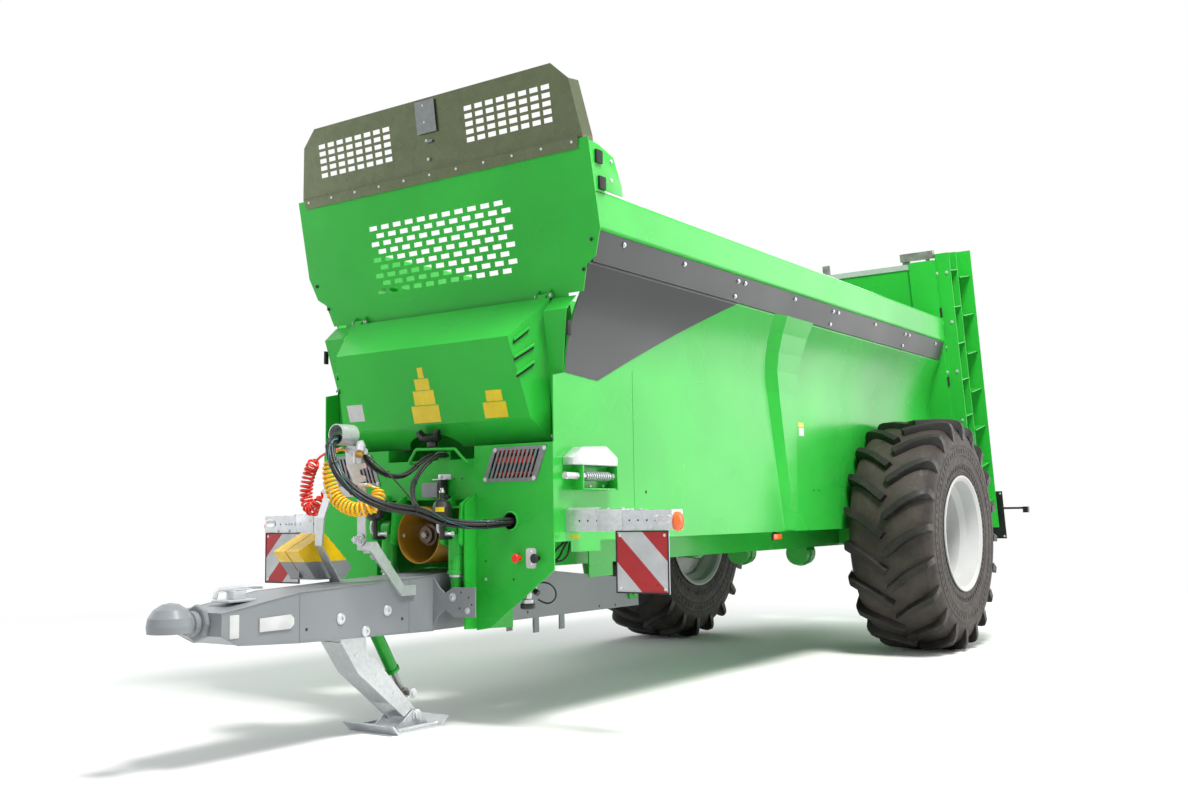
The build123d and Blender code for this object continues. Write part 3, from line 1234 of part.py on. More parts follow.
# Ring on top of the comb plate, that the hoses pass through
ring_x, ring_z = RING_MIDDLE
ring_ends = ((ring_x, RING_FRONT_Y, ring_z), (ring_x, HOLDER_Y + STRAP, ring_z))
with BuildPart() as hose_ring:
    rod(*ring_ends, RING_RADIUS)
    rod(*ring_ends, RING_BORE, mode=Mode.SUBTRACT)
save(hose_ring, "hose_ring")

# ---------------------------------------------------------------- wheel chocks in their tray
CHOCK_RUN = [
    (BOARD_Y - 884, 903), (BOARD_Y - 710, 988), (BOARD_Y - 526, 815), (BOARD_Y - 570, 768),
    (BOARD_Y - 770, 768),
]
CHOCK_INNER_X = -146.0
CHOCK_WIDTH = 86.0
CHOCK_STEP = 93.0
TRAY = 6.0
with BuildPart() as wheel_chocks:
    for k in range(2):
        prism(Plane.YZ.offset(CHOCK_INNER_X - k * CHOCK_STEP - CHOCK_WIDTH), CHOCK_RUN, CHOCK_WIDTH)
save(wheel_chocks, "wheel_chocks")
with BuildPart() as chock_tray:
    # Bent strap under the chocks, standing on the drawbar's top
    tray_left = CHOCK_INNER_X - CHOCK_STEP - CHOCK_WIDTH - GAP
    tray_top = CHOCK_RUN[-1][1] - GAP
    block((tray_left - TRAY, -BEAM_HALF + 25), (BOARD_Y - 770, BOARD_Y - 580), (tray_top - TRAY, tray_top))
    for x in (tray_left - TRAY, CHOCK_INNER_X + GAP):
        block((x, x + TRAY), (BOARD_Y - 750, BOARD_Y - 600), (tray_top - TRAY, 850))
    post_y = BOARD_Y - 660
    block(
        (-BEAM_HALF + 5, -BEAM_HALF + 25),
        (post_y - 20, post_y + 20),
        (beam_top(post_y + 20) + GAP, tray_top - TRAY / 2),
    )
save(chock_tray, "chock_tray")

# ---------------------------------------------------------------- hoses and air lines


def route(points, radius):
    """A tube along straight runs joined by tangent arcs, as large as the runs allow."""
    corners = [Vector(*p) for p in points]
    runs = [b - a for a, b in zip(corners, corners[1:])]
    radii = []
    for before, after in zip(runs, runs[1:]):
        turn = radians(before.get_angle(after))
        radii.append(0.45 * min(before.length, after.length) / tan(turn / 2))
    with BuildLine() as line:
        FilletPolyline(*points, radius=radii)
    with BuildSketch(Plane(corners[0], z_dir=runs[0])) as section:
        Circle(radius)
    sweep(section.sketch, path=line.line)
    print("least radius", round(min(radii)), "of a tube of diameter", 2 * radius)




def ahead(points):
    """A route given from the front face of the floor's end board."""
    return [(x, BOARD_Y + y, z) for x, y, z in points]


# Bundle that leaves the hole in the front frame, sags and turns into the hose ring
BUNDLE_RADIUS = 24.0
RING_SEAT_Z = RING_MIDDLE[1] - RING_BORE + BUNDLE_RADIUS + GAP
BUNDLE = ahead([
    (HOSE_HOLE[0], -80, HOSE_HOLE[1]), (HOSE_HOLE[0] - 12, -168, 1026), (487, -266, 1018), (440, -358, 1022), (396, -440, 1038),
    (372, -520, 1072), (361, -594, 1094), (350, -680, 1101), (323, -762, 1115), (275, -826, 1145),
    (214, -862, 1190), (151, -874, 1243), (106, -880, 1300), (78, -876, 1352), (54, -862, 1394),
    (35, -842, 1425), (RING_MIDDLE[0], -812, RING_SEAT_Z), (RING_MIDDLE[0], -777, RING_SEAT_Z),
])
# Two pairs of smaller hoses from under the hood, to the ring and to the bundle
PAIR_RADIUS = 15.0
RING_PAIR = ahead([
    (RING_MIDDLE[0], -777 + GAP, RING_SEAT_Z), (RING_MIDDLE[0], -727, RING_SEAT_Z),
    (22, -680, 1436), (15, -640, 1412), (10, -600, 1374),
    (16, -558, 1326), (42, -508, 1288), (72, -452, 1268), (88, -392, 1272), (88, -328, 1303),
    (82, -262, 1346), (78, -205, 1371), (76, -150, 1384), (76, CONSOLE_Y - BOARD_Y - GAP, 1384),
])
BUNDLE_PAIR = ahead([
    (119, CONSOLE_Y - BOARD_Y - GAP, 1384), (119, -150, 1384), (121, -208, 1368), (124, -268, 1335), (133, -338, 1283),
    (165, -410, 1222), (228, -476, 1166), (292, -524, 1123), (332, -548, 1102),
])
for node, points, radius in (
    ("hoses", BUNDLE, BUNDLE_RADIUS), ("ring_hoses", RING_PAIR, PAIR_RADIUS),
    ("hood_hoses", BUNDLE_PAIR, PAIR_RADIUS),
):
    with BuildPart() as bundle:
        route(points, radius)
    save(bundle, node)

# Curly air lines: a fat tube where the line is coiled and a thin one at each end
AIR_LINE_RADIUS = 5.5
RED_COIL_RADIUS = 35.0
RED_COIL = ahead([
    (-258, -671, 1352), (-296, -662, 1330), (-322, -660, 1282), (-338, -661, 1222), (-341, -660, 1160),
    (-318, -658, 1112), (-272, -660, 1102), (-238, -662, 1140), (-214, -667, 1172),
])
RED_TOP = ahead([
    (-22, -697, 1404), (-80, -692, 1404), (-138, -688, 1396), (-190, -684, 1382), (-226, -678, 1368),
    (-258, -671, 1352),
])
RED_END = ahead([(-214, -667, 1172), (-200, -682, 1190), (-179, -696, 1196), (-155.3, -696, 1196)])
YELLOW_COIL_RADIUS = 37.0
YELLOW_COIL = ahead([
    (-22, -792, 1346), (-22, -799, 1295), (-15, -800, 1243), (-2, -796, 1190), (30, -790, 1146),
    (82, -780, 1112), (139, -765, 1098), (184, -736, 1106), (200, -700, 1132), (190, -672, 1168),
    (176, -664, 1200),
])
YELLOW_TOP = ahead([
    (20, -705.3, 1390), (18, -732, 1396), (8, -762, 1396), (-8, -782, 1380), (-19, -790, 1364),
    (-22, -792, 1346),
])
YELLOW_END = ahead([(198, -668, 1186), (174, -690, 1206), (154, -702, 1219), (132.3, -702, 1219)])
for node, coil, coil_radius, ends in (
    ("air_line_red", RED_COIL, RED_COIL_RADIUS, (RED_TOP, RED_END)),
    ("air_line_yellow", YELLOW_COIL, YELLOW_COIL_RADIUS, (YELLOW_TOP, YELLOW_END)),
):
    with BuildPart() as air_line:
        route(coil, coil_radius)
        for end in ends:
            route(end, AIR_LINE_RADIUS)
    save(air_line, node)
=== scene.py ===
import json
import random
from math import atan, cos, pi, radians, sin

import bmesh
import bpy
from mathutils import Matrix, Vector


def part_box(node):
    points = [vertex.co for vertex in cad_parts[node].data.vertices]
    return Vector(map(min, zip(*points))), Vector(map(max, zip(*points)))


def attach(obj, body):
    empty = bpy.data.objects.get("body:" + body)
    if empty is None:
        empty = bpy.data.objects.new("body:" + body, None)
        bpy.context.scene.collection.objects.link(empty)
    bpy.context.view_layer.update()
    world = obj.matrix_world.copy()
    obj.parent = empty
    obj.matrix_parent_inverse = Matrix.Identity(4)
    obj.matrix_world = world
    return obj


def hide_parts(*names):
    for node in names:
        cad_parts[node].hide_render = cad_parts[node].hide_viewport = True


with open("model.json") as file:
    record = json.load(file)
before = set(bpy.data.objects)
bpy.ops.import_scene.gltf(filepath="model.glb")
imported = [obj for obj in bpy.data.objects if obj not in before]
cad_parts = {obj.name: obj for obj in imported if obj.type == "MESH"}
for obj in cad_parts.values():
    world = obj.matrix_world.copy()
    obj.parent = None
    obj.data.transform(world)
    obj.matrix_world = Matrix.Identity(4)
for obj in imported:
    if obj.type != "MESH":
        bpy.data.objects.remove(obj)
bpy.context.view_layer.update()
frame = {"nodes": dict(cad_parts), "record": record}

# Dressing of the manure spreader: finishes for every CAD node, then the small parts.
# Metres, +X the machine's left, +Y rearward, +Z up. The small parts are drawn in millimetres,
# with y counted from the rear face of the marker boards.

random.seed(7)
BOARD_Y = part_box("marker_boards")[1][1]      # the station from which the front is set out
MM = 0.001
SIDES = (1, -1)
LEFT_RIGHT = ((1, "left"), (-1, "right"))
DOWN, UP, AHEAD, BACK = (0, 0, -1), (0, 0, 1), (0, -1, 0), (0, 1, 0)


def place_in_scene(item):
    """An object linked into the scene."""
    bpy.context.scene.collection.objects.link(item)
    return item


def corners_of(left, right, low, high):
    """The corners of a rectangle, in order."""
    return ((left, low), (right, low), (right, high), (left, high))


def turns(count, start=0.0):
    """Angles evenly spaced round a full turn."""
    return [2 * pi * k / count + start for k in range(count)]


# ------------------------------------------------------------ camera, light and floor
def add_camera():
    """A camera at the photograph's place, given by its azimuth, pitch and roll."""
    azimuth, pitch, roll = 0.6058, 0.0948, -0.0153
    forward = Vector((-sin(azimuth) * cos(pitch), cos(azimuth) * cos(pitch), sin(pitch)))
    level = Vector((cos(azimuth), sin(azimuth), 0))
    upright = level.cross(forward)
    right = level * cos(roll) + upright * sin(roll)
    up = upright * cos(roll) - level * sin(roll)
    data = bpy.data.cameras.new("camera")
    data.sensor_width = 36
    data.lens = 36.51
    data.clip_end = 200
    camera = place_in_scene(bpy.data.objects.new("camera", data))
    basis = Matrix((right, up, -forward)).transposed().to_4x4()
    camera.matrix_world = Matrix.Translation((4.3958, BOARD_Y - 4.8974, 1.0602)) @ basis
    bpy.context.scene.camera = camera


def add_area(name, place, target, size, power, colour):
    """A square soft light that faces a point."""
    data = bpy.data.lights.new(name, "AREA")
    data.shape = "SQUARE"
    data.size = size
    data.energy = power
    data.color = colour
    lamp = place_in_scene(bpy.data.objects.new(name, data))
    lamp.location = place
    lamp.rotation_euler = (Vector(target) - Vector(place)).to_track_quat("-Z", "Y").to_euler()


class Tree:
    """A shader's nodes, with a short way to add one."""

    def __init__(self, owner):
        owner.use_nodes = True
        self.nodes, self.links = owner.node_tree.nodes, owner.node_tree.links

    def add(self, kind, *sources, **inputs):
        """A node with its first inputs linked and others set by name."""
        node = self.nodes.new("ShaderNode" + kind)
        for k, source in enumerate(sources):
            self.links.new(source, node.inputs[k])
        for socket, value in inputs.items():
            node.inputs[socket.replace("_", " ")].default_value = value
        return node

    def join(self, operation, a, b):
        """Two values joined by a maths operation."""
        node = self.add("Math", a, b)
        node.operation = operation
        return node.outputs[0]


def add_world():
    """Even pale surroundings, white where the camera or a reflection sees them."""
    world = bpy.data.worlds.new("studio")
    bpy.context.scene.world = world
    tree = Tree(world)
    tree.nodes.clear()
    path = tree.add("LightPath").outputs
    seen = tree.join("MAXIMUM", path["Is Camera Ray"], path["Is Transmission Ray"])
    seen = tree.join("MAXIMUM", seen, path["Is Glossy Ray"])
    light = tree.add("Background", Color=(0.93, 0.97, 1.0, 1), Strength=0.42)
    shown = tree.add("Background", Color=(1, 1, 1, 1), Strength=1.0)
    mix = tree.add("MixShader", seen, light.outputs[0], shown.outputs[0])
    tree.add("OutputWorld", mix.outputs[0])


def add_floor():
    """A plain pale floor under the whole machine."""
    mesh = bpy.data.meshes.new("floor")
    reach = 40
    corners = [(-reach, -reach, 0), (reach, -reach, 0), (reach, reach, 0), (-reach, reach, 0)]
    mesh.from_pydata(corners, [], [(0, 1, 2, 3)])
    floor = place_in_scene(bpy.data.objects.new("studio_floor", mesh))
    f = Finish("studio_floor", (0.9, 0.9, 0.89), 0.9)
    # Away from the machine the floor turns plain white, for the camera and reflections alone
    radius = f.add("VectorMath", f.place)
    radius.operation = "LENGTH"
    fade = f.spread(radius.outputs["Value"], 4.0, 9.0)
    path = f.add("LightPath").outputs
    seen = f.join("MAXIMUM", path["Is Camera Ray"], path["Is Glossy Ray"])
    share = f.join("MULTIPLY", fade, seen)
    mix = f.add("MixShader", share, f.shader.outputs[0], f.add("Emission").outputs[0])
    f.links.new(mix.outputs[0], f.nodes["Material Output"].inputs["Surface"])
    mesh.materials.append(f.material)


# ------------------------------------------------------------ finishes
class Finish(Tree):
    """A Principled material, with the patterns its colour, roughness and relief follow."""

    def __init__(self, name, colour, roughness, metallic=0.0, **sockets):
        self.material = bpy.data.materials.new(name)
        super().__init__(self.material)
        self.shader = self.nodes["Principled BSDF"]
        sockets.update(Base_Color=(*colour, 1), Roughness=roughness, Metallic=metallic)
        for socket, value in sockets.items():
            self.shader.inputs[socket.replace("_", " ")].default_value = value
        self.place = self.add("TexCoord").outputs["Object"]

    def noise(self, scale, detail=3.0, stretch=None):
        """A noise pattern in metres, drawn out along an axis where stretch is given."""
        source = self.place
        if stretch:
            source = self.add("Mapping", source, Scale=stretch).outputs[0]
        return self.add("TexNoise", source, Scale=scale, Detail=detail).outputs["Fac"]

    def cells(self, scale):
        """Cells with a random value each, as zinc spangle has."""
        pattern = self.add("TexVoronoi", self.place, Scale=scale).outputs["Color"]
        return self.add("SeparateColor", pattern).outputs[0]

    def height(self):
        """The Z coordinate in the row frame."""
        return self.add("SeparateXYZ", self.place).outputs[2]

    def spread(self, value, low, high, out_low=0.0, out_high=1.0):
        """A value mapped from one range to another, kept inside it."""
        ends = {"From_Min": low, "From_Max": high, "To_Min": out_low, "To_Max": out_high}
        return self.add("MapRange", value, **ends).outputs[0]

    def colours(self, share, first, second):
        """The base colour, between two colours."""
        node = self.add("Mix")
        node.data_type = "RGBA"
        self.links.new(share, node.inputs[0])
        for socket, colour in ((6, first), (7, second)):
            if isinstance(colour, bpy.types.NodeSocket):
                self.links.new(colour, node.inputs[socket])
            else:
                node.inputs[socket].default_value = (*colour, 1)
        self.links.new(node.outputs[2], self.shader.inputs["Base Color"])
        return node.outputs[2]

    def rough(self, value, low, high):
        """Roughness that follows a pattern."""
        self.links.new(self.spread(value, 0.3, 0.7, low, high), self.shader.inputs["Roughness"])

    def bump(self, value, strength, distance):
        """Relief that follows a pattern."""
        node = self.add("Bump", Strength=strength, Distance=distance)
        self.links.new(value, node.inputs["Height"])
        self.links.new(node.outputs[0], self.shader.inputs["Normal"])


def paint(name, light, dark, roughness, dust):
    """Sprayed paint: a slow change of tone, orange peel and a little dust low down."""
    f = Finish(name, light, roughness, Specular_IOR_Level=0.24, Coat_Weight=0.05,
               Coat_Roughness=0.12)
    tone = f.colours(f.spread(f.noise(1.3), 0.35, 0.65), light, dark)
    low = f.spread(f.height(), 0.0, 1.6, dust, 0.0)
    patch = f.join("MULTIPLY", low, f.spread(f.noise(6, 6), 0.35, 0.75))
    f.colours(patch, tone, (0.36, 0.33, 0.27))
    f.rough(f.noise(2.2, 2), roughness - 0.03, roughness + 0.04)
    f.bump(f.noise(300, 1), 0.006, 0.0002)
    return f.material


def zinc(name, light, dark, scale, roughness):
    """Hot-dip zinc with its spangle."""
    f = Finish(name, light, roughness, metallic=0.6)
    f.colours(f.spread(f.cells(scale), 0.0, 1.0, 0.15, 0.85), light, dark)
    f.rough(f.cells(scale * 0.7), roughness - 0.02, roughness + 0.05)
    f.bump(f.noise(60, 2), 0.02, 0.0004)
    return f.material


def metal(name, light, dark, roughness, stretch=(1, 1, 1)):
    """Bare steel with fine scratches and a few darker patches."""
    f = Finish(name, light, roughness, metallic=0.9)
    f.colours(f.spread(f.noise(14, 5), 0.35, 0.7), light, dark)
    f.rough(f.noise(90, 3, stretch), roughness - 0.1, roughness + 0.15)
    f.bump(f.noise(160, 3, stretch), 0.1, 0.0006)
    return f.material


def rubber(name, colour, dusty, roughness, dust):
    """Moulded rubber, paler where dust lies."""
    f = Finish(name, colour, roughness, Specular_IOR_Level=0.35)
    patch = f.spread(f.noise(7, 6), 0.35, 0.7)
    grain = f.spread(f.noise(45, 3), 0.2, 0.9, dust * 0.5, dust)
    f.colours(f.join("MULTIPLY", patch, grain), colour, dusty)
    f.rough(f.noise(30, 4), roughness - 0.08, roughness + 0.12)
    f.bump(f.noise(260, 3), 0.25, 0.0012)
    return f.material


def moulded(name, colour, roughness, grain):
    """Moulded plastic with a fine grain."""
    f = Finish(name, colour, roughness)
    f.colours(f.spread(f.noise(11, 3), 0.3, 0.7), colour, [c * 0.82 for c in colour])
    f.rough(f.noise(24, 3), roughness - 0.05, roughness + 0.08)
    f.bump(f.noise(grain, 2), 0.08, 0.0006)
    return f.material


# The name of each finish and what its maker takes, colours in linear light
LOOKS = {
    paint: {
        "green_paint": ((0.030, 0.47, 0.047), (0.024, 0.40, 0.040), 0.25, 0.03),
        "grey_paint": ((0.25, 0.265, 0.285), (0.22, 0.235, 0.255), 0.36, 0.05),
        "dark_grey_paint": ((0.050, 0.052, 0.055), (0.042, 0.044, 0.047), 0.38, 0.05),
        "white_rim": ((0.56, 0.57, 0.57), (0.50, 0.51, 0.51), 0.32, 0.2),
    },
    zinc: {
        "galvanised": ((0.62, 0.64, 0.66), (0.52, 0.54, 0.56), 70, 0.34),
        # Zinc of the screen, darker and olive: a painted dark reflection of its surroundings
        "screen_zinc": ((0.13, 0.155, 0.085), (0.11, 0.13, 0.07), 22, 0.26),
        # Dull zinc of the screen's small plate; on the grilles the same dark zinc is painted shade
        "dull_zinc": ((0.23, 0.245, 0.25), (0.18, 0.195, 0.20), 60, 0.32),
        "bright_zinc": ((0.62, 0.64, 0.66), (0.57, 0.59, 0.61), 90, 0.3),
    },
    metal: {
        "chrome": ((0.62, 0.62, 0.63), (0.45, 0.45, 0.46), 0.18),
        "steel": ((0.36, 0.36, 0.37), (0.20, 0.18, 0.16), 0.4, (1, 1, 8)),
        "rust_steel": ((0.16, 0.13, 0.11), (0.10, 0.07, 0.05), 0.5),
    },
    rubber: {
        "tyre_rubber": ((0.026, 0.020, 0.017), (0.075, 0.060, 0.052), 0.60, 0.7),
        "lug_rubber": ((0.008, 0.007, 0.0065), (0.050, 0.044, 0.040), 0.50, 0.45),
        # Black rubber of the real rubber parts, and also black stand-ins painted as the shade
        # inside holes, bays, the hose hole and under the louvre lips
        "black_rubber": ((0.012, 0.012, 0.012), (0.05, 0.05, 0.05), 0.6, 0.3),
        "hose_rubber": ((0.012, 0.012, 0.013), (0.07, 0.07, 0.07), 0.36, 0.3),
    },
    moulded: {
        "marker_sheet": ((0.52, 0.53, 0.55), 0.35, 900),
        "red_sheet": ((0.40, 0.010, 0.014), 0.32, 900),
        "amber_lens": ((0.80, 0.13, 0.008), 0.14, 120),
        "red_lens": ((0.55, 0.006, 0.004), 0.14, 120),
        "clear_lens": ((0.62, 0.63, 0.64), 0.1, 120),
        "guard_plastic": ((0.40, 0.20, 0.012), 0.42, 200),
        "black_plastic": ((0.012, 0.012, 0.013), 0.36, 350),
        "hose_mark": ((0.02, 0.34, 0.33), 0.4, 200),
        "wire_sleeve": ((0.42, 0.43, 0.45), 0.45, 200),
        "red_plastic": ((0.84, 0.028, 0.014), 0.22, 200),
        "yellow_plastic": ((0.88, 0.56, 0.008), 0.26, 200),
        "coil_yellow": ((0.95, 0.52, 0.008), 0.2, 200),
        "plate_yellow": ((0.80, 0.60, 0.01), 0.3, 500),
        "plate_white": ((0.62, 0.63, 0.63), 0.35, 500),
    },
}
FINISHES = {
    name: make(name, *look) for make, looks in LOOKS.items() for name, look in looks.items()
}
# The record's slot that stands for each further finish
NODE_FINISHES = {
    # The screen's darker zinc is a painted dark reflection; the grilles' dark zinc is painted shade
    "screen": "screen_zinc", "grilles": "dull_zinc",
    "trim_panels": "dark_grey_paint", "rail_strips": "dark_grey_paint",
}


def dress_nodes():
    """Each CAD node takes the finish of its material slot, or its own."""
    for entry in frame["record"]["subparts"]:
        node = frame["nodes"][entry["node"]]
        finish = NODE_FINISHES.get(entry["node"], entry["material_slot"])
        node.data.materials.clear()
        node.data.materials.append(FINISHES[finish])


# ------------------------------------------------------------ shapes
class Shape:
    """A piece under construction: its mesh in millimetres, y from the marker boards.

    Its finish is bright zinc unless the call names another."""

    made = []

    def __init__(self, name, finishes="bright_zinc", body="root", crease=32, replaces=None):
        self.name, self.body, self.crease, self.replaces = name, body, crease, replaces
        self.finishes = [finishes] if isinstance(finishes, str) else finishes
        self.bm = bmesh.new()
        self.finish = 0
        self.made.append(self)

    def face(self, verts):
        made = self.bm.faces.new(verts)
        made.material_index = self.finish

    def round_edges(self, verts, bevel):
        """The edges between corners rounded, where there is a bevel."""
        if bevel:
            edges = list({e for v in verts for e in v.link_edges})
            bmesh.ops.bevel(self.bm, geom=edges, offset=bevel, segments=2, profile=0.6,
                            affect="EDGES")

    def block(self, x, y, z, bevel=1.5, turn=None):
        """A box with its edges rounded."""
        low = Vector((min(x), min(y), min(z)))
        high = Vector((max(x), max(y), max(z)))
        matrix = Matrix.Translation((low + high) / 2) @ (turn or Matrix.Identity(4))
        matrix = matrix @ Matrix.Diagonal((*(high - low), 1))
        verts = bmesh.ops.create_cube(self.bm, size=1, matrix=matrix)["verts"]
        for made in {f for v in verts for f in v.link_faces}:
            made.material_index = self.finish
        self.round_edges(verts, bevel)

    def plate(self, outline, push, bevel=0.0):
        """A flat outline pushed along a vector."""
        low = [self.bm.verts.new(p) for p in outline]
        high = [self.bm.verts.new(Vector(p) + Vector(push)) for p in outline]
        self.face(low[::-1])
        self.face(high)
        for i, start in enumerate(low):
            j = (i + 1) % len(low)
            self.face((start, low[j], high[j], high[i]))
        self.round_edges(low + high, bevel)

    def lathe(self, profile, centre, axis, steps=32, closed=False):
        """A profile of (radius, distance along the axis) turned round the axis."""
        w = Vector(axis).normalized()
        u = w.orthogonal().normalized()
        v = w.cross(u)
        rings = []
        for radius, along in profile:
            middle = Vector(centre) + w * along
            if radius < 1e-6:
                rings.append([self.bm.verts.new(middle)])
                continue
            rings.append([self.bm.verts.new(middle + (u * cos(a) + v * sin(a)) * radius)
                          for a in turns(steps)])
        pairs = list(zip(rings, rings[1:]))
        if closed:
            pairs.append((rings[-1], rings[0]))
        for near, far in pairs:
            if len(near) == len(far) == 1:
                continue
            for i in range(steps):
                j = (i + 1) % steps
                if len(near) == 1:
                    self.face((near[0], far[j], far[i]))
                elif len(far) == 1:
                    self.face((near[i], near[j], far[0]))
                else:
                    self.face((near[i], near[j], far[j], far[i]))

    def disc(self, radius, height, centre, axis, steps):
        """A plain disc or bar."""
        self.lathe([(0, 0), (radius, 0), (radius, height), (0, height)], centre, axis, steps)

    def ring(self, inner, outer, height, centre, axis, steps):
        """A plain ring."""
        profile = [(inner, 0), (outer, 0), (outer, height), (inner, height)]
        self.lathe(profile, centre, axis, steps, closed=True)

    def bolt(self, place, axis, size=12, washer=True):
        """A hexagon head on a washer."""
        base = size * 0.2 if washer else 0.0
        if washer:
            self.disc(size * 1.45, base, place, axis, 18)
        self.lathe([(0, base), (size, base), (size, base + size * 0.6),
                    (size * 0.82, base + size * 0.72), (0, base + size * 0.72)], place, axis, 6)

    def rivet(self, place, axis, radius=7, height=3):
        """A low round head."""
        self.lathe([(0, 0), (radius, 0), (radius * 0.85, height * 0.6), (radius * 0.5, height),
                    (0, height)], place, axis, 14)

    def tube(self, points, radius, sides=12):
        """A round bar along points."""
        rings = []
        for place, _, normal, across in frames_along([Vector(p) for p in points]):
            rings.append([self.bm.verts.new(place + (normal * cos(a) + across * sin(a)) * radius)
                          for a in turns(sides)])
        for near, far in zip(rings, rings[1:]):
            for i in range(sides):
                j = (i + 1) % sides
                self.face((near[i], near[j], far[j], far[i]))
        self.face(rings[0][::-1])
        self.face(rings[-1])

    def add_to_scene(self):
        """The finished piece, smooth apart from its sharp edges, riding on its body."""
        bmesh.ops.recalc_face_normals(self.bm, faces=self.bm.faces)
        bmesh.ops.transform(
            self.bm, verts=self.bm.verts, space=Matrix.Identity(4),
            matrix=Matrix.Translation((0, BOARD_Y, 0)) @ Matrix.Scale(MM, 4),
        )
        mesh = bpy.data.meshes.new(self.name)
        self.bm.to_mesh(mesh)
        self.bm.free()
        for finish in self.finishes:
            mesh.materials.append(FINISHES[finish])
        for polygon in mesh.polygons:
            polygon.use_smooth = True
        mesh.set_sharp_from_angle(angle=radians(self.crease))
        piece = place_in_scene(bpy.data.objects.new(self.name, mesh))
        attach(piece, self.body)
        if self.replaces:
            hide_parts(self.replaces)


# ------------------------------------------------------------ cords
def spline_curve(name, places, detail):
    """A curve with one smooth open NURBS spline through or near its places."""
    curve = bpy.data.curves.new(name, "CURVE")
    curve.dimensions = "3D"
    spline = curve.splines.new("NURBS")
    spline.points.add(len(places) - 1)
    for point, place in zip(spline.points, places):
        point.co = (*place, 1)
    spline.order_u = 3
    spline.use_endpoint_u = True
    spline.resolution_u = detail
    return curve


def add_line(name, points, radius, finish="hose_rubber", replaces=None, detail=6):
    """A cord on one spline; its points are in millimetres, y from the end board."""
    places = [(x * MM, BOARD_Y + y * MM, z * MM) for x, y, z in points]
    curve = spline_curve(name, places, detail)
    curve.bevel_depth = radius * MM
    curve.bevel_resolution = 3
    curve.use_fill_caps = True
    curve.materials.append(FINISHES[finish])
    cord = place_in_scene(bpy.data.objects.new(name, curve))
    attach(cord, "root")
    if replaces:
        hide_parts(replaces)
    spline_length(points)


def read_spline(points, detail=8):
    """Points read from the NURBS spline of a route, in millimetres."""
    curve = spline_curve("route", points, detail)
    holder = bpy.data.objects.new("route", curve)
    mesh = bpy.data.meshes.new_from_object(holder)
    places = [v.co.copy() for v in mesh.vertices]
    bpy.data.objects.remove(holder)
    bpy.data.meshes.remove(mesh)
    bpy.data.curves.remove(curve)
    return places


def spline_length(points):
    """The length of a route's spline in metres."""
    places = read_spline(points)
    return sum((b - a).length for a, b in zip(places, places[1:])) * MM


def frames_along(places):
    """Each point with its direction and two axes across it that don't twist."""
    normal = None
    made = []
    for k, place in enumerate(places):
        ahead = places[min(k + 1, len(places) - 1)] - places[max(k - 1, 0)]
        ahead.normalize()
        normal = ahead.orthogonal() if normal is None else normal - ahead * normal.dot(ahead)
        normal.normalize()
        made.append((place, ahead, normal.copy(), ahead.cross(normal)))
    return made


def strands(points, offsets, twist, drift):
    """The routes of hoses that run side by side round a common route."""
    routes = []
    for radius, turn in offsets:
        route = []
        phase = random.uniform(0, 2 * pi)
        for k, (place, _, normal, across) in enumerate(frames_along([Vector(p) for p in points])):
            share = k / (len(points) - 1)
            angle = turn + twist * share + drift * sin(phase + 5 * share)
            route.append(place + (normal * cos(angle) + across * sin(angle)) * radius)
        routes.append(route)
    return routes


COIL_PITCH = 21.5
PER_TURN = 12                # points of the spline in each turn of a coil


def helix(points, radius, pitch):
    """Turns of a curly line round a route; the first and last ease in to the route's side."""
    places = read_spline(points)
    runs = [0.0]
    for a, b in zip(places, places[1:]):
        runs.append(runs[-1] + (b - a).length)
    spread = frames_along(places)
    count = int(runs[-1] / pitch * PER_TURN)
    made = []
    k = 0
    for step in range(count + 1):
        run = runs[-1] * step / count
        while k < len(runs) - 2 and runs[k + 1] < run:
            k += 1
        share = (run - runs[k]) / (runs[k + 1] - runs[k])
        middle = spread[k][0].lerp(spread[k + 1][0], share)
        normal = spread[k][2].lerp(spread[k + 1][2], share).normalized()
        across = spread[k][3].lerp(spread[k + 1][3], share).normalized()
        angle = 2 * pi * step / PER_TURN
        to_end = min(step, count - step)
        ease = min(1.0, 0.25 + 0.75 * to_end / (PER_TURN * 1.2))
        made.append(middle + (normal * cos(angle) + across * sin(angle)) * radius * ease)
    return made



# Routes of the hoses, as in the part's source
BUNDLE = [
    (545, -80, 1034), (533, -168, 1026), (487, -266, 1018), (440, -358, 1022), (396, -440, 1038),
    (372, -520, 1072), (361, -594, 1094), (350, -680, 1101), (323, -762, 1115), (275, -826, 1145),
    (214, -862, 1190), (151, -874, 1243), (106, -880, 1300), (78, -876, 1352), (54, -862, 1394),
    (35, -842, 1425), (25, -812, 1445.3), (25, -777, 1445.3),
]
RING_PAIR = [
    (25, -776.7, 1445.3), (25, -727, 1445.3), (22, -680, 1436), (15, -640, 1412), (10, -600, 1374),
    (16, -558, 1326), (42, -508, 1288), (72, -452, 1268), (88, -392, 1272), (88, -328, 1303),
    (82, -262, 1346), (78, -205, 1371), (76, -150, 1384), (76, -98.6, 1384),
]
BUNDLE_PAIR = [
    (119, -98.6, 1384), (119, -150, 1384), (121, -208, 1368), (124, -268, 1335), (133, -338, 1283),
    (165, -410, 1222), (228, -476, 1166), (292, -524, 1123), (332, -548, 1102),
]
RED_COIL = [
    (-258, -671, 1352), (-296, -662, 1330), (-322, -660, 1282), (-338, -661, 1222),
    (-341, -660, 1160), (-318, -658, 1112), (-272, -660, 1102), (-238, -662, 1140),
    (-214, -667, 1172),
]
RED_TOP = [
    (-22, -697, 1404), (-80, -692, 1404), (-138, -688, 1396), (-190, -684, 1382),
    (-226, -678, 1368),
]
RED_END = [(-200, -682, 1190), (-179, -696, 1196), (-155.3, -696, 1196)]
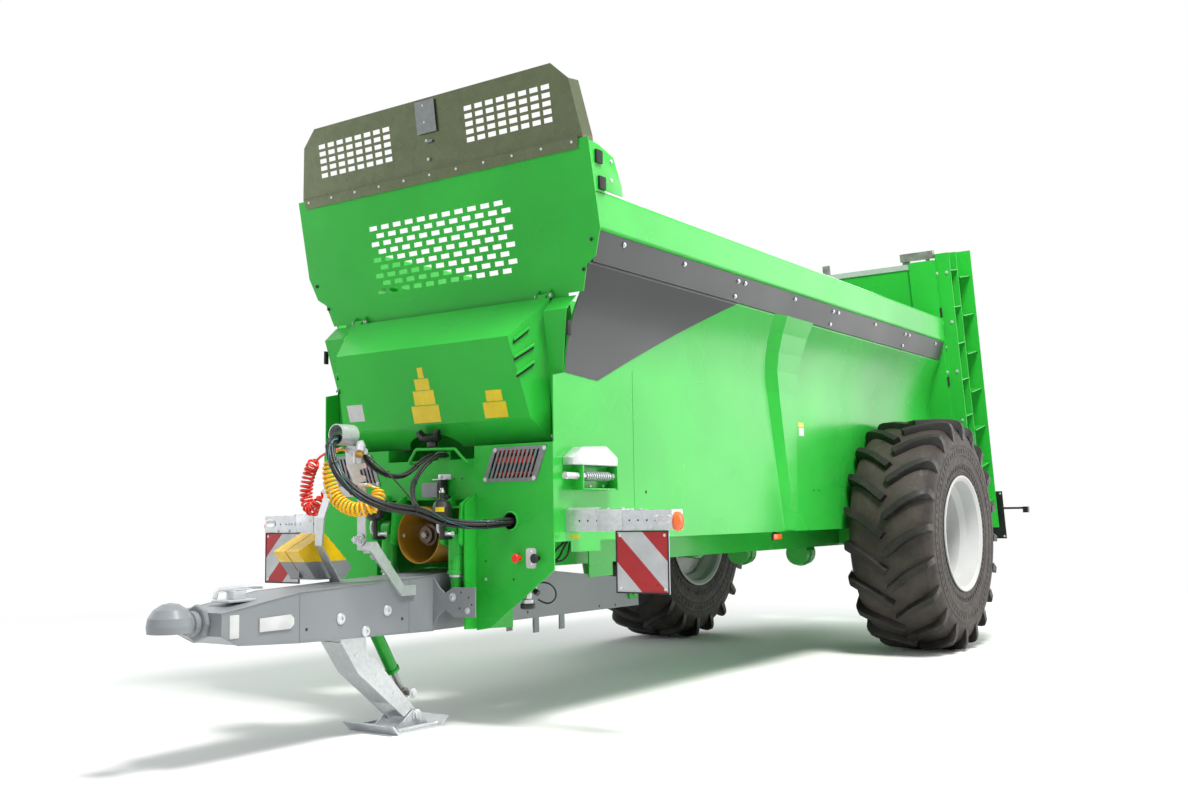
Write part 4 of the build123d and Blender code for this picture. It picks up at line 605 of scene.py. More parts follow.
YELLOW_COIL = [
    (-22, -792, 1346), (-22, -799, 1295), (-15, -800, 1243), (-2, -796, 1190), (30, -790, 1146),
    (82, -780, 1112), (139, -765, 1098), (184, -736, 1106), (200, -700, 1132), (190, -672, 1168),
    (176, -664, 1200),
]
YELLOW_TOP = [
    (20, -705.3, 1390), (18, -732, 1396), (8, -762, 1396), (-8, -782, 1380), (-19, -790, 1364),
]
YELLOW_END = [(174, -690, 1206), (154, -702, 1219), (132.3, -702, 1219)]
VALVE_HOSE = [
    (640, -40, 690), (668, -52, 712), (712, -60, 730), (764, -60, 722), (796, -56, 690),
    (792, -52, 650), (752, -48, 622), (706, -46, 626), (676, -44, 640),
]
HANDLE_WIRE = [
    (98, -99, 1397), (98, -124, 1402), (96, -158, 1392), (90, -198, 1354), (86, -240, 1310),
    (88, -290, 1268), (110, -350, 1222), (170, -420, 1176), (246, -480, 1132), (300, -520, 1112),
]
LAMP_WIRE = [
    (96, -703, 1392), (120, -690, 1368), (170, -655, 1318), (222, -620, 1262), (262, -590, 1206),
    (300, -566, 1150), (330, -552, 1118),
]


def add_cords():
    """Hydraulic hoses, the two curly air lines and the thin wires."""
    seven = [(0.6, 0.0)] + [(16.2, turn) for turn in turns(6)]
    three = [(8.1, turn) for turn in turns(3)]
    for name, route, offsets, twist, drift, radius, node in (
        ("front_hose", BUNDLE, seven, 1.4, 0.10, 7.9, "hoses"),
        ("ring_hose", RING_PAIR, three, 1.6, 0.2, 6.9, "ring_hoses"),
        ("hood_hose", BUNDLE_PAIR, three, -1.2, 0.2, 6.9, "hood_hoses"),
    ):
        for k, points in enumerate(strands(route, offsets, twist, drift)):
            add_line(f"{name}_{k + 1}", points, radius, replaces=None if k else node)
    red = RED_TOP + helix(RED_COIL, 28.6, COIL_PITCH) + RED_END
    yellow = YELLOW_TOP + helix(YELLOW_COIL, 30.6, COIL_PITCH) + YELLOW_END
    for colour, finish, points in (("red", "red_plastic", red), ("yellow", "coil_yellow", yellow)):
        add_line(f"{colour}_air_line", points, 6.6, finish, f"air_line_{colour}", 3)
    # Three short hoses from under the side into the back of the console, on the left
    for k, (x, y) in enumerate(((742, 8), (776, 22), (806, 40))):
        route = [(794 + 5 * k, y + 34, 944), (784 + 8 * k, y + 18, 918), (x + 4, y, 884),
                 (x, y - 14, 852), (x - 22, y - 34, 828), (x - 46 - 6 * k, y - 62, 818 + 5 * k),
                 (x - 60 - 8 * k, -88, 816 + 6 * k)]
        add_line(f"brake_hose_{k + 1}", route, 6)
    add_line("valve_hose", VALVE_HOSE, 4.5)
    add_line("handle_wire", HANDLE_WIRE, 5, "wire_sleeve")
    add_line("lamp_wire", LAMP_WIRE, 4)


def add_hose_dress():
    """Marks along the hoses and the ties round them."""
    marks = Shape("hose_marks", "hose_mark")
    spread = frames_along(read_spline(BUNDLE, 10))
    for phase in (0.4, 2.3):
        for k in range(6, len(spread) - 6, 2):
            place, ahead, normal, across = spread[k]
            angle = phase + 0.06 * k
            out = normal * cos(angle) + across * sin(angle)
            side = ahead.cross(out)
            middle = place + out * 24.6
            corners = corners_of(-7, 7, -1.1, 1.1)
            marks.plate([middle + ahead * a + side * b for a, b in corners], out * 0.5)
    ties = Shape("hose_ties", "black_plastic")
    for route, reach, shares in (
        (BUNDLE, 25.4, (0.08, 0.22, 0.36, 0.47, 0.6, 0.74, 0.87)),
        (RING_PAIR, 16.2, (0.25, 0.5, 0.75)), (BUNDLE_PAIR, 16.2, (0.3, 0.62)),
    ):
        spread = frames_along(read_spline(route, 10))
        for share in shares:
            place, ahead, normal, across = spread[int(share * (len(spread) - 1))]
            band = [(reach, -2.5), (reach + 1.2, -2.5), (reach + 1.2, 2.5), (reach, 2.5)]
            ties.lathe(band, place, ahead, 24, closed=True)
            ties.disc(4, 7, place + normal * (reach + 3), across, 8)


# ------------------------------------------------------------ wheels
AXLE = (4230, 877.5)         # y and z of the axle
TYRE_MIDDLE = 1152.5         # x of a tyre's middle plane


def on_wheel(x, radius, angle):
    """A point at a radius and an angle from the top round the axle."""
    return (x, AXLE[0] + radius * sin(angle), AXLE[1] + radius * cos(angle))


TYRE_HALF = [
    (0, 833.5), (120, 832), (200, 825.5), (240, 813), (274.5, 790), (298, 752), (311, 722),
    (316, 700), (317, 672), (320, 669), (320.2, 661), (317.5, 658), (317.5, 600), (320, 597),
    (320.2, 589), (317, 586), (312, 540), (313, 536), (312, 526), (309, 522), (304.5, 480),
    (306, 476), (305, 466), (302, 462), (299.5, 443), (291.5, 409.5), (262, 404.5), (250, 430),
    (262, 500), (285, 600), (275, 710), (200, 780), (0, 800),
]
LUG_RUN = [
    (3, -131, 877.2, 828), (30, -110, 877.2, 828), (60, -89, 877.2, 828), (120, -38, 876.6, 827),
    (180, 0, 874.4, 822), (240, 32, 869, 806), (280, 51, 859, 778), (304, 60, 842, 745),
    (316, 64, 812, 722), (319.6, 66, 772, 712),
]
LUGS = 20
LUG_ROOT_ROWS = 7            # rows before this one run along the tread, the others down the wall
LUG_TURN_RADIUS = 855        # the mean radius by which a length along the tread becomes an angle
LUG_SECTION = [(-34, 0.0), (-27, 0.82), (-23, 1.0), (23, 1.0), (27, 0.82), (34, 0.0)]


def add_lug(shape, middle, flank, start):
    """One curved lug, from the middle of the tread down over a shoulder."""
    rows = []
    for i, (a, s, top, base) in enumerate(LUG_RUN):
        before = LUG_RUN[max(i - 1, 0)]
        after = LUG_RUN[min(i + 1, len(LUG_RUN) - 1)]
        run = Vector((after[0] - before[0], after[1] - before[1])).normalized()
        row = []
        for wide, share in LUG_SECTION:
            across = a - run.y * wide if i < LUG_ROOT_ROWS else a
            across = min(max(across, -20), 319.8)
            along = s + run.x * wide if i < LUG_ROOT_ROWS else s + wide * 0.95
            turn = start + along / LUG_TURN_RADIUS
            place = on_wheel(middle + flank * across, base + (top - base) * share, turn)
            row.append(shape.bm.verts.new(place))
        rows.append(row)
    for near, far in zip(rows, rows[1:]):
        for i in range(len(near) - 1):
            shape.face((near[i], near[i + 1], far[i + 1], far[i]))
        shape.face((near[-1], near[0], far[0], far[-1]))
    shape.face(rows[0][::-1])
    shape.face(rows[-1])


def add_tyre(name, side):
    """A carcass with ribbed walls and curved lugs that turn down over the shoulders."""
    shape = Shape(f"{name}_tyre_rubber", ("tyre_rubber", "lug_rubber"), f"{name}_wheel",
                  crease=22, replaces=f"{name}_tyre")
    middle = side * TYRE_MIDDLE
    profile = [(r, x) for x, r in TYRE_HALF] + [(r, -x) for x, r in reversed(TYRE_HALF[1:-1])]
    shape.lathe(profile, (middle, *AXLE), (1, 0, 0), 160, closed=True)
    # Small blocks round each wall, near the rim and further out
    for flank in SIDES:
        for angle in turns(72):
            for low, high, reach, wide in ((487, 515, 311.0, 0.016), (610, 640, 320.3, 0.010)):
                x = middle + flank * (reach - 6)
                outline = [on_wheel(x, r, angle + a) for r, a in corners_of(low, high, -wide, wide)]
                shape.plate(outline, (flank * 6, 0, 0))
    shape.finish = 1
    for flank in SIDES:
        for k in range(LUGS):
            add_lug(shape, middle, flank, 2 * pi * (k + (0.5 if flank < 0 else 0)) / LUGS)


def add_wheel_dress(name, side):
    """Nuts, hub cap, disc rings, brake drum and sensor ring of a wheel."""
    body = f"{name}_wheel"
    out = (side, 0, 0)
    nuts = Shape(f"{name}_wheel_nuts", body=body)
    for angle in turns(10):
        nuts.bolt(on_wheel(side * 999.3, 167, angle), out, 15)
        nuts.lathe([(0, 0), (8, 0), (8, 12), (6, 14), (0, 14)],
                   on_wheel(side * 1012, 167, angle), out, 12)
    cap = Shape(f"{name}_hub_cap", "white_rim", body)
    cap.lathe([(0, 0), (120, 0), (120, 10), (112, 14), (84, 16), (78, 30), (60, 44), (30, 50),
               (0, 51)], (side * 1115.3, *AXLE), out, 48)
    for angle in turns(6):
        cap.bolt(on_wheel(side * 1129, 98, angle), out, 7, washer=False)
    rings = Shape(f"{name}_disc_rings", "white_rim", body)
    rings.lathe([(214, 0), (226, 0), (226, 5), (222, 9), (218, 9), (214, 5)],
                (side * 999, *AXLE), out, 64, closed=True)
    rings.lathe([(330, 0), (346, 0), (346, 14), (338, 18), (330, 12)],
                (side * 998, *AXLE), out, 96, closed=True)
    Shape(f"{name}_brake_drum", "green_paint", body).lathe(
        [(120, 0), (205, 0), (212, 6), (212, 24), (205, 30), (205, 104), (196, 112), (120, 112)],
        (side * 852, *AXLE), out, 64, closed=True,
    )
    teeth = Shape(f"{name}_sensor_ring", body=body)
    teeth.ring(150, 182, 8, (side * 843, *AXLE), out, 64)
    tooth = ((181, -0.025), (192, -0.018), (192, 0.018), (181, 0.025))
    for angle in turns(60):
        corners = [on_wheel(side * 843, r, angle + t) for r, t in tooth]
        teeth.plate(corners, (side * 8, 0, 0))


# ------------------------------------------------------------ marker boards
def clip(polygon, level, above):
    """The part of a polygon whose coordinates add up to more, or less, than a level."""
    kept = []
    for k, (u, v) in enumerate(polygon):
        p, q = polygon[k - 1]
        was, now = (p + q >= level) == above, (u + v >= level) == above
        if was != now:
            share = (level - p - q) / (u + v - p - q)
            kept.append((p + (u - p) * share, q + (v - q) * share))
        if now:
            kept.append((u, v))
    return kept


def arm_top(x):
    """The height of a board's arm at its top, which steps down towards its end."""
    return 1086 if x < 1150 else 1080


def add_marker_boards():
    """Striped sheeting, rubber edges and rivets on both boards, and the dress of their arms."""
    square = [(0, 0), (1, 0), (1, 1), (0, 1)]
    for side, name in LEFT_RIGHT:
        sheet = Shape(f"{name}_marker_stripes", ["marker_sheet", "red_sheet"])
        for k in range(4):
            sheet.finish = k % 2
            band = clip(clip(square, 0.5 * k, True), 0.5 * k + 0.5, False)
            outline = [(side * (1129 + 290 * u), -6.2, 686 + 290 * v) for u, v in band]
            sheet.plate(outline, (0, -0.6, 0))
        edge = Shape(f"{name}_marker_edge", "black_rubber")
        for x, z in (((1124, 1424), (681, 688)), ((1124, 1424), (974, 981)),
                     ((1124, 1131), (688, 974)), ((1417, 1424), (688, 974))):
            edge.block([side * c for c in x], (-9.5, -6.1), z, 1.2)
        rivets = Shape(f"{name}_marker_rivets")
        for x in (1147, 1401):
            for z in (704, 958):
                rivets.rivet((side * x, -6.7, z), AHEAD, 8, 3)
        # Black discs and slots: painted shade of the holes and slots in the arm
        holes = Shape(f"{name}_arm_holes", "black_rubber")
        for x in (905, 955, 1010, 1064, 1105, 1200, 1250, 1300, 1345):
            holes.disc(5, 0.6, (side * x, 0.2, 1030), AHEAD, 14)
        for x in (890, 985, 1090, 1205, 1290, 1372):
            top = arm_top(x)
            holes.block((side * x, side * (x + 26)), (38, 48), (top - 0.2, top + 1), 0)
        fixings = Shape(f"{name}_arm_bolts")
        for x in (1040, 1128, 1176, 1230):
            fixings.bolt((side * x, 0.2, 1030 if x > 1100 else 1052), AHEAD, 7)
            fixings.bolt((side * x, 55, arm_top(x) + 0.2), UP, 8)
        for x in (1225, 1323):
            fixings.bolt((side * x, 0.2, 992), AHEAD, 8)
        fold = Shape(f"{name}_arm_sleeve", "galvanised")
        lip = ((819, 0.2, 1087), (1012, 0.2, 1087), (1012, 30, 1096), (819, 30, 1096))
        fold.plate([(side * x, y, z) for x, y, z in lip], (0, 0, -2.5))
        fold.block((side * 1012, side * 1160), (-2.2, 0), (978, 1084), 0.8)
        fold.block((side * 836, side * 1004), (-1.8, 0), (1058, 1084), 0.8)
        oval = Shape(f"{name}_arm_oval", "chrome")
        oval.lathe([(0, 0), (30, 0), (30, 2), (26, 4), (22, 3), (0, 3)], (0, 0, 0), AHEAD, 40)
        bmesh.ops.scale(oval.bm, vec=(1.7, 1, 0.78), verts=oval.bm.verts)
        bmesh.ops.translate(oval.bm, vec=(side * 1392, 0.2, 1036), verts=oval.bm.verts)
        Shape(f"{name}_marker_lens", "amber_lens", replaces="marker_lamps").lathe(
            [(0, 0), (47.5, 0), (47.5, 8), (42, 13), (38, 13.5), (36, 12.5), (30, 16.5), (26, 17),
             (24, 16), (12, 20), (0, 21)], (side * 1440.5, 50, 1022), (side, 0, 0), 48,
        )


# ------------------------------------------------------------ hood and console
HOOD_FLARE = 0.4953          # how far its slanted sides go out for each millimetre back


def on_hood(x, z):
    """A point half a millimetre off the lower front face, which goes back 112 mm in 408 down."""
    return (x, -200.482 + (1963 - z) * 112 / 408, z - 0.1325)


def add_hood_dress():
    """Blank plates, handle, seal, louvres and hinge bolts of the hood."""
    yellow = ((-31, 8, 1800, 1856), (-65, 37, 1738, 1797), (-90, 58, 1660, 1735),
              (-120, 75, 1566, 1656), (409, 516, 1650, 1706), (380, 533, 1566, 1646))
    for name, finish, plates in (("hood_plates", "plate_yellow", yellow),
                                 ("hood_white_plate", "plate_white", ((-606, -486, 1600, 1692),))):
        shape = Shape(name, finish, "hood")
        for sizes in plates:
            shape.plate([on_hood(x, z) for x, z in corners_of(*sizes)], (0, -0.9, -0.25))
    handle = Shape("hood_handle", "black_plastic", "hood")
    chin = [(-84, 1478), (-84, 1526), (-58, 1530), (-52, 1504), (30, 1504), (46, 1530),
            (74, 1526), (44, 1476)]
    handle.plate([(x, -58 - (z - 1478) * 0.9, z) for x, z in chin], (0, -24, -16), bevel=4)
    handle.block((-78, -12), (-42, -26), (1440, 1484), 4)
    seal = Shape("hood_seal", "black_rubber", "hood")
    seal.block((132, 716), (12, 21), (1427, 1432.8), 1)
    seal.block((-716, -252), (12, 21), (1427, 1432.8), 1)
    louvres = Shape("hood_louvres", ("green_paint", "black_rubber"), "hood")
    # Each is a shallow folded lip on the slanted face, along a rising line; the black strip under
    # it is painted shade of the opening below the lip
    for side in SIDES:
        for ends in (((-172, 1954), (-96, 2020)), ((-170, 1866), (-70, 1936)),
                     ((-158, 1782), (-70, 1850))):
            start, end = (Vector((side * (716 + y * HOOD_FLARE), y, z)) for y, z in ends)
            out = Vector((side * 0.896, -0.444, 0)) * 17
            drop = Vector((0, 0, -30))
            louvres.plate([start, end, end + drop * 0.2 + out, start + drop * 0.2 + out],
                          drop * 0.35, bevel=1.5)
            # The black strip under the lip: painted shade
            louvres.finish = 1
            start, end = start + drop * 0.6, end + drop * 0.6
            louvres.plate([start, end, end + out * 0.4, start + out * 0.4], drop * 0.4)
            louvres.finish = 0
    bolts = Shape("hood_bolts")
    for side in SIDES:
        bolts.bolt((side * 716, 22, 1462), AHEAD, 9)
        bolts.bolt((side * 625, 34, 2192), (-side, 0, 0), 10)
        bolts.bolt((side * 716, 34, 2192), (side, 0, 0), 10)


def add_knob(name, finish, x, radius, reach):
    """A pull knob on the console."""
    Shape(name, finish).lathe(
        [(0, 0), (radius * 0.55, 0), (radius * 0.5, reach * 0.4), (radius * 0.8, reach * 0.55),
         (radius, reach * 0.7), (radius, reach * 0.9), (radius * 0.85, reach), (0, reach)],
        (x, -98.6, 848), AHEAD, 24,
    )


def add_console_dress():
    """Brake controls, the hose hole's collar with painted shade inside it, the bays behind the
    grilles with black painted shade at their back, bolts, and black discs painted as the shade in
    holes.
    """
    add_knob("brake_knob_red", "red_plastic", 604, 22, 46)
    add_knob("brake_knob_black", "black_plastic", 720, 24, 40)
    outline = []
    for cx, cz, start in ((694, 884, 0), (658, 884, 90), (658, 812, 180), (694, 812, 270)):
        for k in range(5):
            a = radians(start + 22.5 * k)
            outline.append((cx + 14 * cos(a), -98.5, cz + 14 * sin(a)))
    Shape("brake_plate", "plate_white").plate(outline, (0, -2.5, 0), 0.7)
    screws = Shape("brake_plate_screws")
    for z in (816, 880):
        screws.rivet((676, -101, z), AHEAD, 6, 2.5)
    Shape("hose_hole_collar", "green_paint").lathe(
        [(41.8, 0), (52, 0), (52, 4), (47, 7), (41.8, 5)], (545, -98.5, 1034), AHEAD, 48,
        closed=True,
    )
    # A black tube closed at its far end inside the hose hole: painted shade of the hole's depth
    Shape("hose_hole_painted_shade", "black_rubber").lathe(
        [(41.5, 0), (41.5, 70), (38, 72), (0, 72), (0, 70), (36, 68), (38, 0)], (545, -98, 1034),
        BACK, 40,
    )
    bays = Shape("grille_bay_painted_shade", "black_rubber")
    bars = Shape("grille_reflectors", "red_plastic")
    wedges = Shape("bay_corners", "green_paint")
    bolts = Shape("console_bolts")
    holes = Shape("console_holes", "black_rubber")
    for side in SIDES:
        # The black back of each bay behind a grille: painted shade
        bays.block((side * 392, side * 748), (-60, -56), (1240, 1406), 1)
        for z0, z1 in ((1380, 1398), (1328, 1362), (1268, 1282)):
            bars.block((side * 430, side * 668), (-74, -61), (z0, z1), 3)
        # Corners of the bays beside the slanted grilles
        for corners in (((395.2, 1292), (395.2, 1400.8), (442, 1400.8)),
                        ((744.8, 1245.2), (744.8, 1324), (709, 1245.2))):
            wedges.plate([(side * x, -98.2, z) for x, z in corners], (0, 7, 0))
        for x, y, z, size in ((452, -102.7, 1396, 8), (768, -102.7, 1396, 8),
                              (700, -102.7, 1248, 8), (384, -102.7, 1248, 8),
                              (286, -245.4, 655, 16), (384, -245.4, 590, 12),
                              (382, -98.6, 739, 6)):
            bolts.bolt((side * x, y, z), AHEAD, size)
        # Black discs: painted shade of holes
        for x, z in ((390, 655), (340, 680), (330, 600), (410, 620)):
            holes.rivet((side * x, -245.3, z), AHEAD, 5, 0.5)
    # Black discs: painted shade of holes in the console
    for x, z in ((382, 831), (563, 741), (168, 1259), (224, 1259)):
        holes.rivet((x, -98.5, z), AHEAD, 6, 0.5)


def add_valve_dress():
    """The valve box between the console's halves and the brake valve under its left."""
    Shape("valve_box", "grey_paint").block((2, 104), (-168, -104), (1162, 1240), 5)
    cap = Shape("valve_cap", "black_plastic")
    cap.block((104, 132), (-160, -106), (1168, 1254), 4)
    cap.lathe([(0, 0), (22, 0), (24, 6), (24, 20), (16, 26), (0, 26)], (150, -140, 1150), UP, 24)
    bracket = Shape("valve_bracket", "galvanised")
    bracket.block((60, 150), (-150, -99), (1254, 1259), 1)
    bracket.block((60, 150), (-103, -99), (1259, 1284), 1)
    bracket.bolt((82, -103, 1272), AHEAD, 7)
    bracket.bolt((136, -103, 1272), AHEAD, 7)
    valve = Shape("brake_valve")
    valve.block((590, 650), (-76, -20), (672, 716), 6)
    valve.lathe([(0, 0), (20, 0), (20, 30), (28, 36), (28, 60), (20, 66), (0, 66)],
                (612, -48, 674), DOWN, 28)
    valve.tube([(560, -48, 700), (592, -48, 700)], 10, 14)
    dark = Shape("brake_valve_cap", "black_plastic")
    dark.lathe([(0, 0), (34, 0), (38, 6), (38, 22), (32, 28), (0, 28)], (612, -48, 620), DOWN, 28)
    dark.disc(15, 34, (646, -44, 686), (1, 0, -0.5), 18)
    Shape("arm_yellow_plate", "plate_yellow").block((850, 906), (-2.2, 0.1), (944, 962), 0.5)


# ------------------------------------------------------------ hose holder, drawbar and stand
def add_holder_dress():
    """Couplings and lugs on the hose holder, and its clevis."""
    steel = Shape("holder_fittings")
    # Angled coupling at the head of the comb, with its nuts
    steel.tube([(60, -705, 1392), (86, -712, 1400), (112, -722, 1404)], 13, 16)
    steel.disc(22, 26, (100, -718, 1402), (1, -0.2, 0.15), 6)
    steel.lathe([(0, 0), (24, 0), (24, 34), (18, 38), (0, 38)], (122, -726, 1418),
                (0, -0.3, -1), 24)
    steel.lathe([(0, 0), (18, 0), (18, 20), (12, 24), (0, 24)], (122, -724, 1412),
                (-0.3, -0.2, 1), 24)
    # Couplings on the comb's fingers
    for x, z in ((-20, 1404), (20, 1390)):
        steel.lathe([(0, 0), (11, 0), (11, 14), (8, 16), (8, 24), (0, 24)], (x, -705.5, z),
                    AHEAD, 6)
    steel.disc(11, 22, (-152, -697, 1196), (-1, 0, 0), 6)
    steel.disc(11, 22, (130, -697, 1219), (1, 0, 0), 6)
    # Clevis and pins half way down the right strap
    steel.disc(30, 5, (98, -706, 955), AHEAD, 28)
    steel.block((84, 112), (-742, -712), (938, 972), 3)
    steel.tube([(66, -728, 955), (134, -728, 962)], 7, 12)
    steel.bolt((98, -742, 955), AHEAD, 11)
    Shape("coupling_plug", "guard_plastic").lathe(
        [(0, 0), (20, 0), (20, 16), (15, 20), (0, 20)], (127, -742, 1374), (0.1, -0.3, -1), 24,
    )
    lugs = Shape("holder_lugs")
    for y, z in ((-652, 900), (-600, 868), (-548, 836)):
        lugs.block((72, 124), (y - 12, y + 12), (z - 12, z + 8), 4)
        lugs.tube([(62, y, z + 2), (136, y, z + 2)], 6, 12)
        lugs.bolt((136, y, z + 2), (1, 0, 0), 8)


RAM_X = 238                  # the suspension's rams and accumulators, each side of the middle


def add_suspension_dress():
    """Pipes, caps and blank plates of the two accumulators."""
    pipes = Shape("suspension_pipes")
    caps = Shape("accumulator_caps", "chrome")
    labels = Shape("accumulator_plates", "plate_yellow")
    lean = radians(60)
    for side in SIDES:
        x = side * RAM_X
        pipes.tube([(x - 26, -262, 1046), (x - 34, -262, 1030), (x - 38, -262, 1004),
                    (x - 36, -258, 986), (x - 24, -246, 976), (x - 4, -226, 972),
                    (x + 14, -206, 972)], 8.5, 14)
        for shift in (0, 24):
            pipes.disc(14, 14, (x - 14 + shift, -236 + shift, 973), (0.7, 0.7, 0), 6)
        caps.lathe([(0, 0), (15, 0), (15, 10), (10, 13), (10, 24), (0, 25)],
                   (x, -270, 1183), UP, 24)
        for k in range(7):
            a0 = radians(-62 + 8 * k)
            a1 = radians(-62 + 8 * (k + 1))
            corners = [(x + 50.6 * sin(a + lean), -270 - 50.6 * cos(a + lean), z)
                       for a, z in ((a0, 1086), (a1, 1086), (a1, 1110), (a0, 1110))]
            labels.plate(corners, (0.4 * sin(a0 + lean), -0.4 * cos(a0), 0))


SHAFT_Z = 967


def add_shaft_dress():
    """Hub and splines of the drive shaft, which turn with it, and the bolts of its guard."""
    hub = Shape("drive_hub", "rust_steel", "pto_shaft")
    hub.lathe([(20, 0), (58, 0), (58, 8), (44, 12), (44, 34), (20, 34)], (0, -103, SHAFT_Z),
              AHEAD, 36, closed=True)
    for a in turns(6):
        hub.bolt((48 * sin(a), -111, SHAFT_Z + 48 * cos(a)), AHEAD, 6, washer=False)
    splines = Shape("drive_splines", "steel", "pto_shaft")
    for a in turns(6):
        corners = [(r * sin(a + t), -100.5, SHAFT_Z + r * cos(a + t))
                   for r, t in ((16, -0.22), (20, -0.18), (20, 0.18), (16, 0.22))]
        splines.plate(corners, (0, -48, 0))
    splines.lathe([(0, 0), (16.5, 0), (16.5, 50), (14, 53), (0, 53)], (0, -100, SHAFT_Z), AHEAD, 24)
    fixing = Shape("guard_bolts")
    for a in turns(3, 0.5):
        fixing.bolt((143 * sin(a), -150, SHAFT_Z + 143 * cos(a)), (-sin(a), 0, -cos(a)), 8)


HITCH_Z = 621


def add_drawbar_dress():
    """Bosses, latch, lever, blank plates and seams of the drawbar, and the hitch's flange."""
    bosses = Shape("drawbar_bosses")
    plates = Shape("drawbar_blank_plates", "plate_white")
    holes = Shape("drawbar_holes", "black_rubber")
    seams = Shape("drawbar_seams", "grey_paint")
    blank = [(-1362, 572), (-1188, 572), (-1168, 590), (-1168, 618), (-1188, 636), (-1362, 630)]
    for side in SIDES:
        out = (side, 0, 0)
        for y, z in ((-881, 592), (-574, 609), (-720, 520)):
            bosses.lathe([(0, 0), (27, 0), (27, 4), (20, 9), (10, 9), (10, 4), (0, 4)],
                         (side * 150.3, y, z), out, 32)
        # Black discs: painted shade of holes in the drawbar
        for y, z in ((384, 521), (542, 517), (1256, 502), (1431, 497), (-1090, 560), (-470, 560)):
            holes.rivet((side * 150.2, y, z), out, 8, 0.6)
        plates.plate([(side * 150.3, y, z) for y, z in blank], (side * 7, 0, 0), 1.5)
        plates.rivet((side * 157.3, -1190, 622), out, 4, 1)
        plates.block((side * 146, side * 154), (-1520, -1470), (555, 655), 3)
        for x, radius, line in (
            (151, 3.2, ((-1552, 566), (-1475, 525), (-1130, 505), (-243, 483))),
            (151, 2.6, ((-1552, 667), (-1130, 729), (-243, 763), (296, 788))),
            (150.6, 2.2, ((-1130, 507), (-1130, 727))), (150.6, 2.2, ((-420, 488), (-420, 754))),
        ):
            seams.tube([(side * x, y, z) for y, z in line], radius, 8)
    latch = Shape("drawbar_latches")
    latch.block((-60, 60), (-1452, -1300), (700, 712), 4)
    latch.tube([(-52, -1440, 716), (-52, -1432, 742), (-44, -1420, 752), (44, -1300, 764),
                (60, -1270, 764)], 11, 14)
    Shape("drawbar_lever").block((-26, 26), (-1400, -1330), (712, 748), 5)
    flange = Shape("hitch_flange", "grey_paint")
    flange.lathe([(46.3, 0), (80, 0), (80, 18), (74, 22), (46.3, 22)], (0, -1562, HITCH_Z), AHEAD,
                 8, closed=True)
    flange.lathe([(46.3, 0), (54, 0), (54, 26), (46.3, 30)], (0, -1586, HITCH_Z), AHEAD, 48,
                 closed=True)


# The stand's cylinder at rest: its upper pin, its direction, its length from pin to eye and
# the share of that length that its barrel takes
CYLINDER_TOP = Vector((0, -600, 645))
CYLINDER_AXIS = Vector((0, 0.521086554, -0.853503839))
CYLINDER_LENGTH = 556.5
BARREL_SHARE = 0.76


def add_stand_dress():
    """Pins, ribs and gland of the parking stand, and the rings of the suspension's rams."""
    pins = Shape("foot_pins", body="stand_foot")
    legs = Shape("leg_pins", body="stand_leg")
    rings = Shape("suspension_rings", "green_paint")
    wipers = Shape("suspension_wipers")
    for side in SIDES:
        out = (side, 0, 0)
        pins.lathe([(0, 0), (30, 0), (30, 4), (18, 6), (18, 14), (0, 15)], (side * 84.2, -300, 62),
                   out, 28)
        legs.lathe([(0, 0), (26, 0), (26, 4), (14, 5), (14, 12), (0, 13)], (side * 70.2, -310, 170),
                   out, 28)
        for y, z in ((-700, 400), (-560, 290), (-440, 190)):
            legs.disc(13, 2, (side * 70.1, y, z), out, 20)
        x = side * RAM_X
        for z, wide, end in ((765, 49, 18), (960, 48, 12)):
            rings.lathe([(44.2, 0), (wide, 2), (wide, end - 2), (44.2, end)], (x, -160, z), UP, 40,
                        closed=True)
        rings.lathe([(0, 0), (9, 0), (9, 10), (0, 11)], (x, -204, 830), AHEAD, 16)
        wipers.ring(32.2, 40, 12, (x, -160, 752), UP, 40)
    ribs = Shape("foot_ribs", "galvanised", "stand_foot")
    for x in (-130, -105, 105, 130):
        ribs.block((x - 4, x + 4), (-520, -190), (10, 18))
    for x in (-150, 150):
        ribs.block((x - 4, x + 4), (-500, -210), (10, 26))
    gland = Shape("barrel_gland", "green_paint", "stand_barrel")
    end = CYLINDER_TOP + CYLINDER_AXIS * CYLINDER_LENGTH * BARREL_SHARE
    gland.lathe([(17, 0), (37, 0), (37, 16), (30, 20), (17, 20)], end - CYLINDER_AXIS * 19,
                CYLINDER_AXIS, 36, closed=True)
    gland.ring(32.2, 38, 10, end - CYLINDER_AXIS * 330, CYLINDER_AXIS, 36)


def add_chock_dress():
    """Ribs and worn grey sides of the wheel chocks, and the strap that holds them."""
    ribs = Shape("chock_ribs", "yellow_plastic")
    worn = Shape("chock_feet", "grey_paint")
    flank = [(-770, 768.5), (-571, 768.5), (-527, 815), (-563, 850), (-839, 850)]
    worn.plate([(-145.8, y, z) for y, z in flank], (0.7, 0, 0))
    for shift in (0, 93):
        x0 = -146 - shift
        for share in (0.15, 0.35, 0.55, 0.75):
            y = -710 + 184 * share
            z = 988 - 173 * share
            ribs.block((x0 - 80, x0 - 6), (y - 6, y + 6), (z - 6, z + 6), 2)
        x1 = -146.5 - shift
        worn.plate([(x1, -770, 768), (x1 - 85, -770, 768), (x1 - 85, -839, 850), (x1, -839, 850)],
                   (0, -0.8, -0.6))
    Shape("chock_strap", "steel").block((-238, -232), (-800, -640), (770, 900), 1)


# ------------------------------------------------------------ body
END_TOP = 2938               # the top edge of the front end wall
END_LEAN = 0.2055            # how far that wall goes back for each millimetre down
WALL_X = 818.3               # the outer face of a side wall


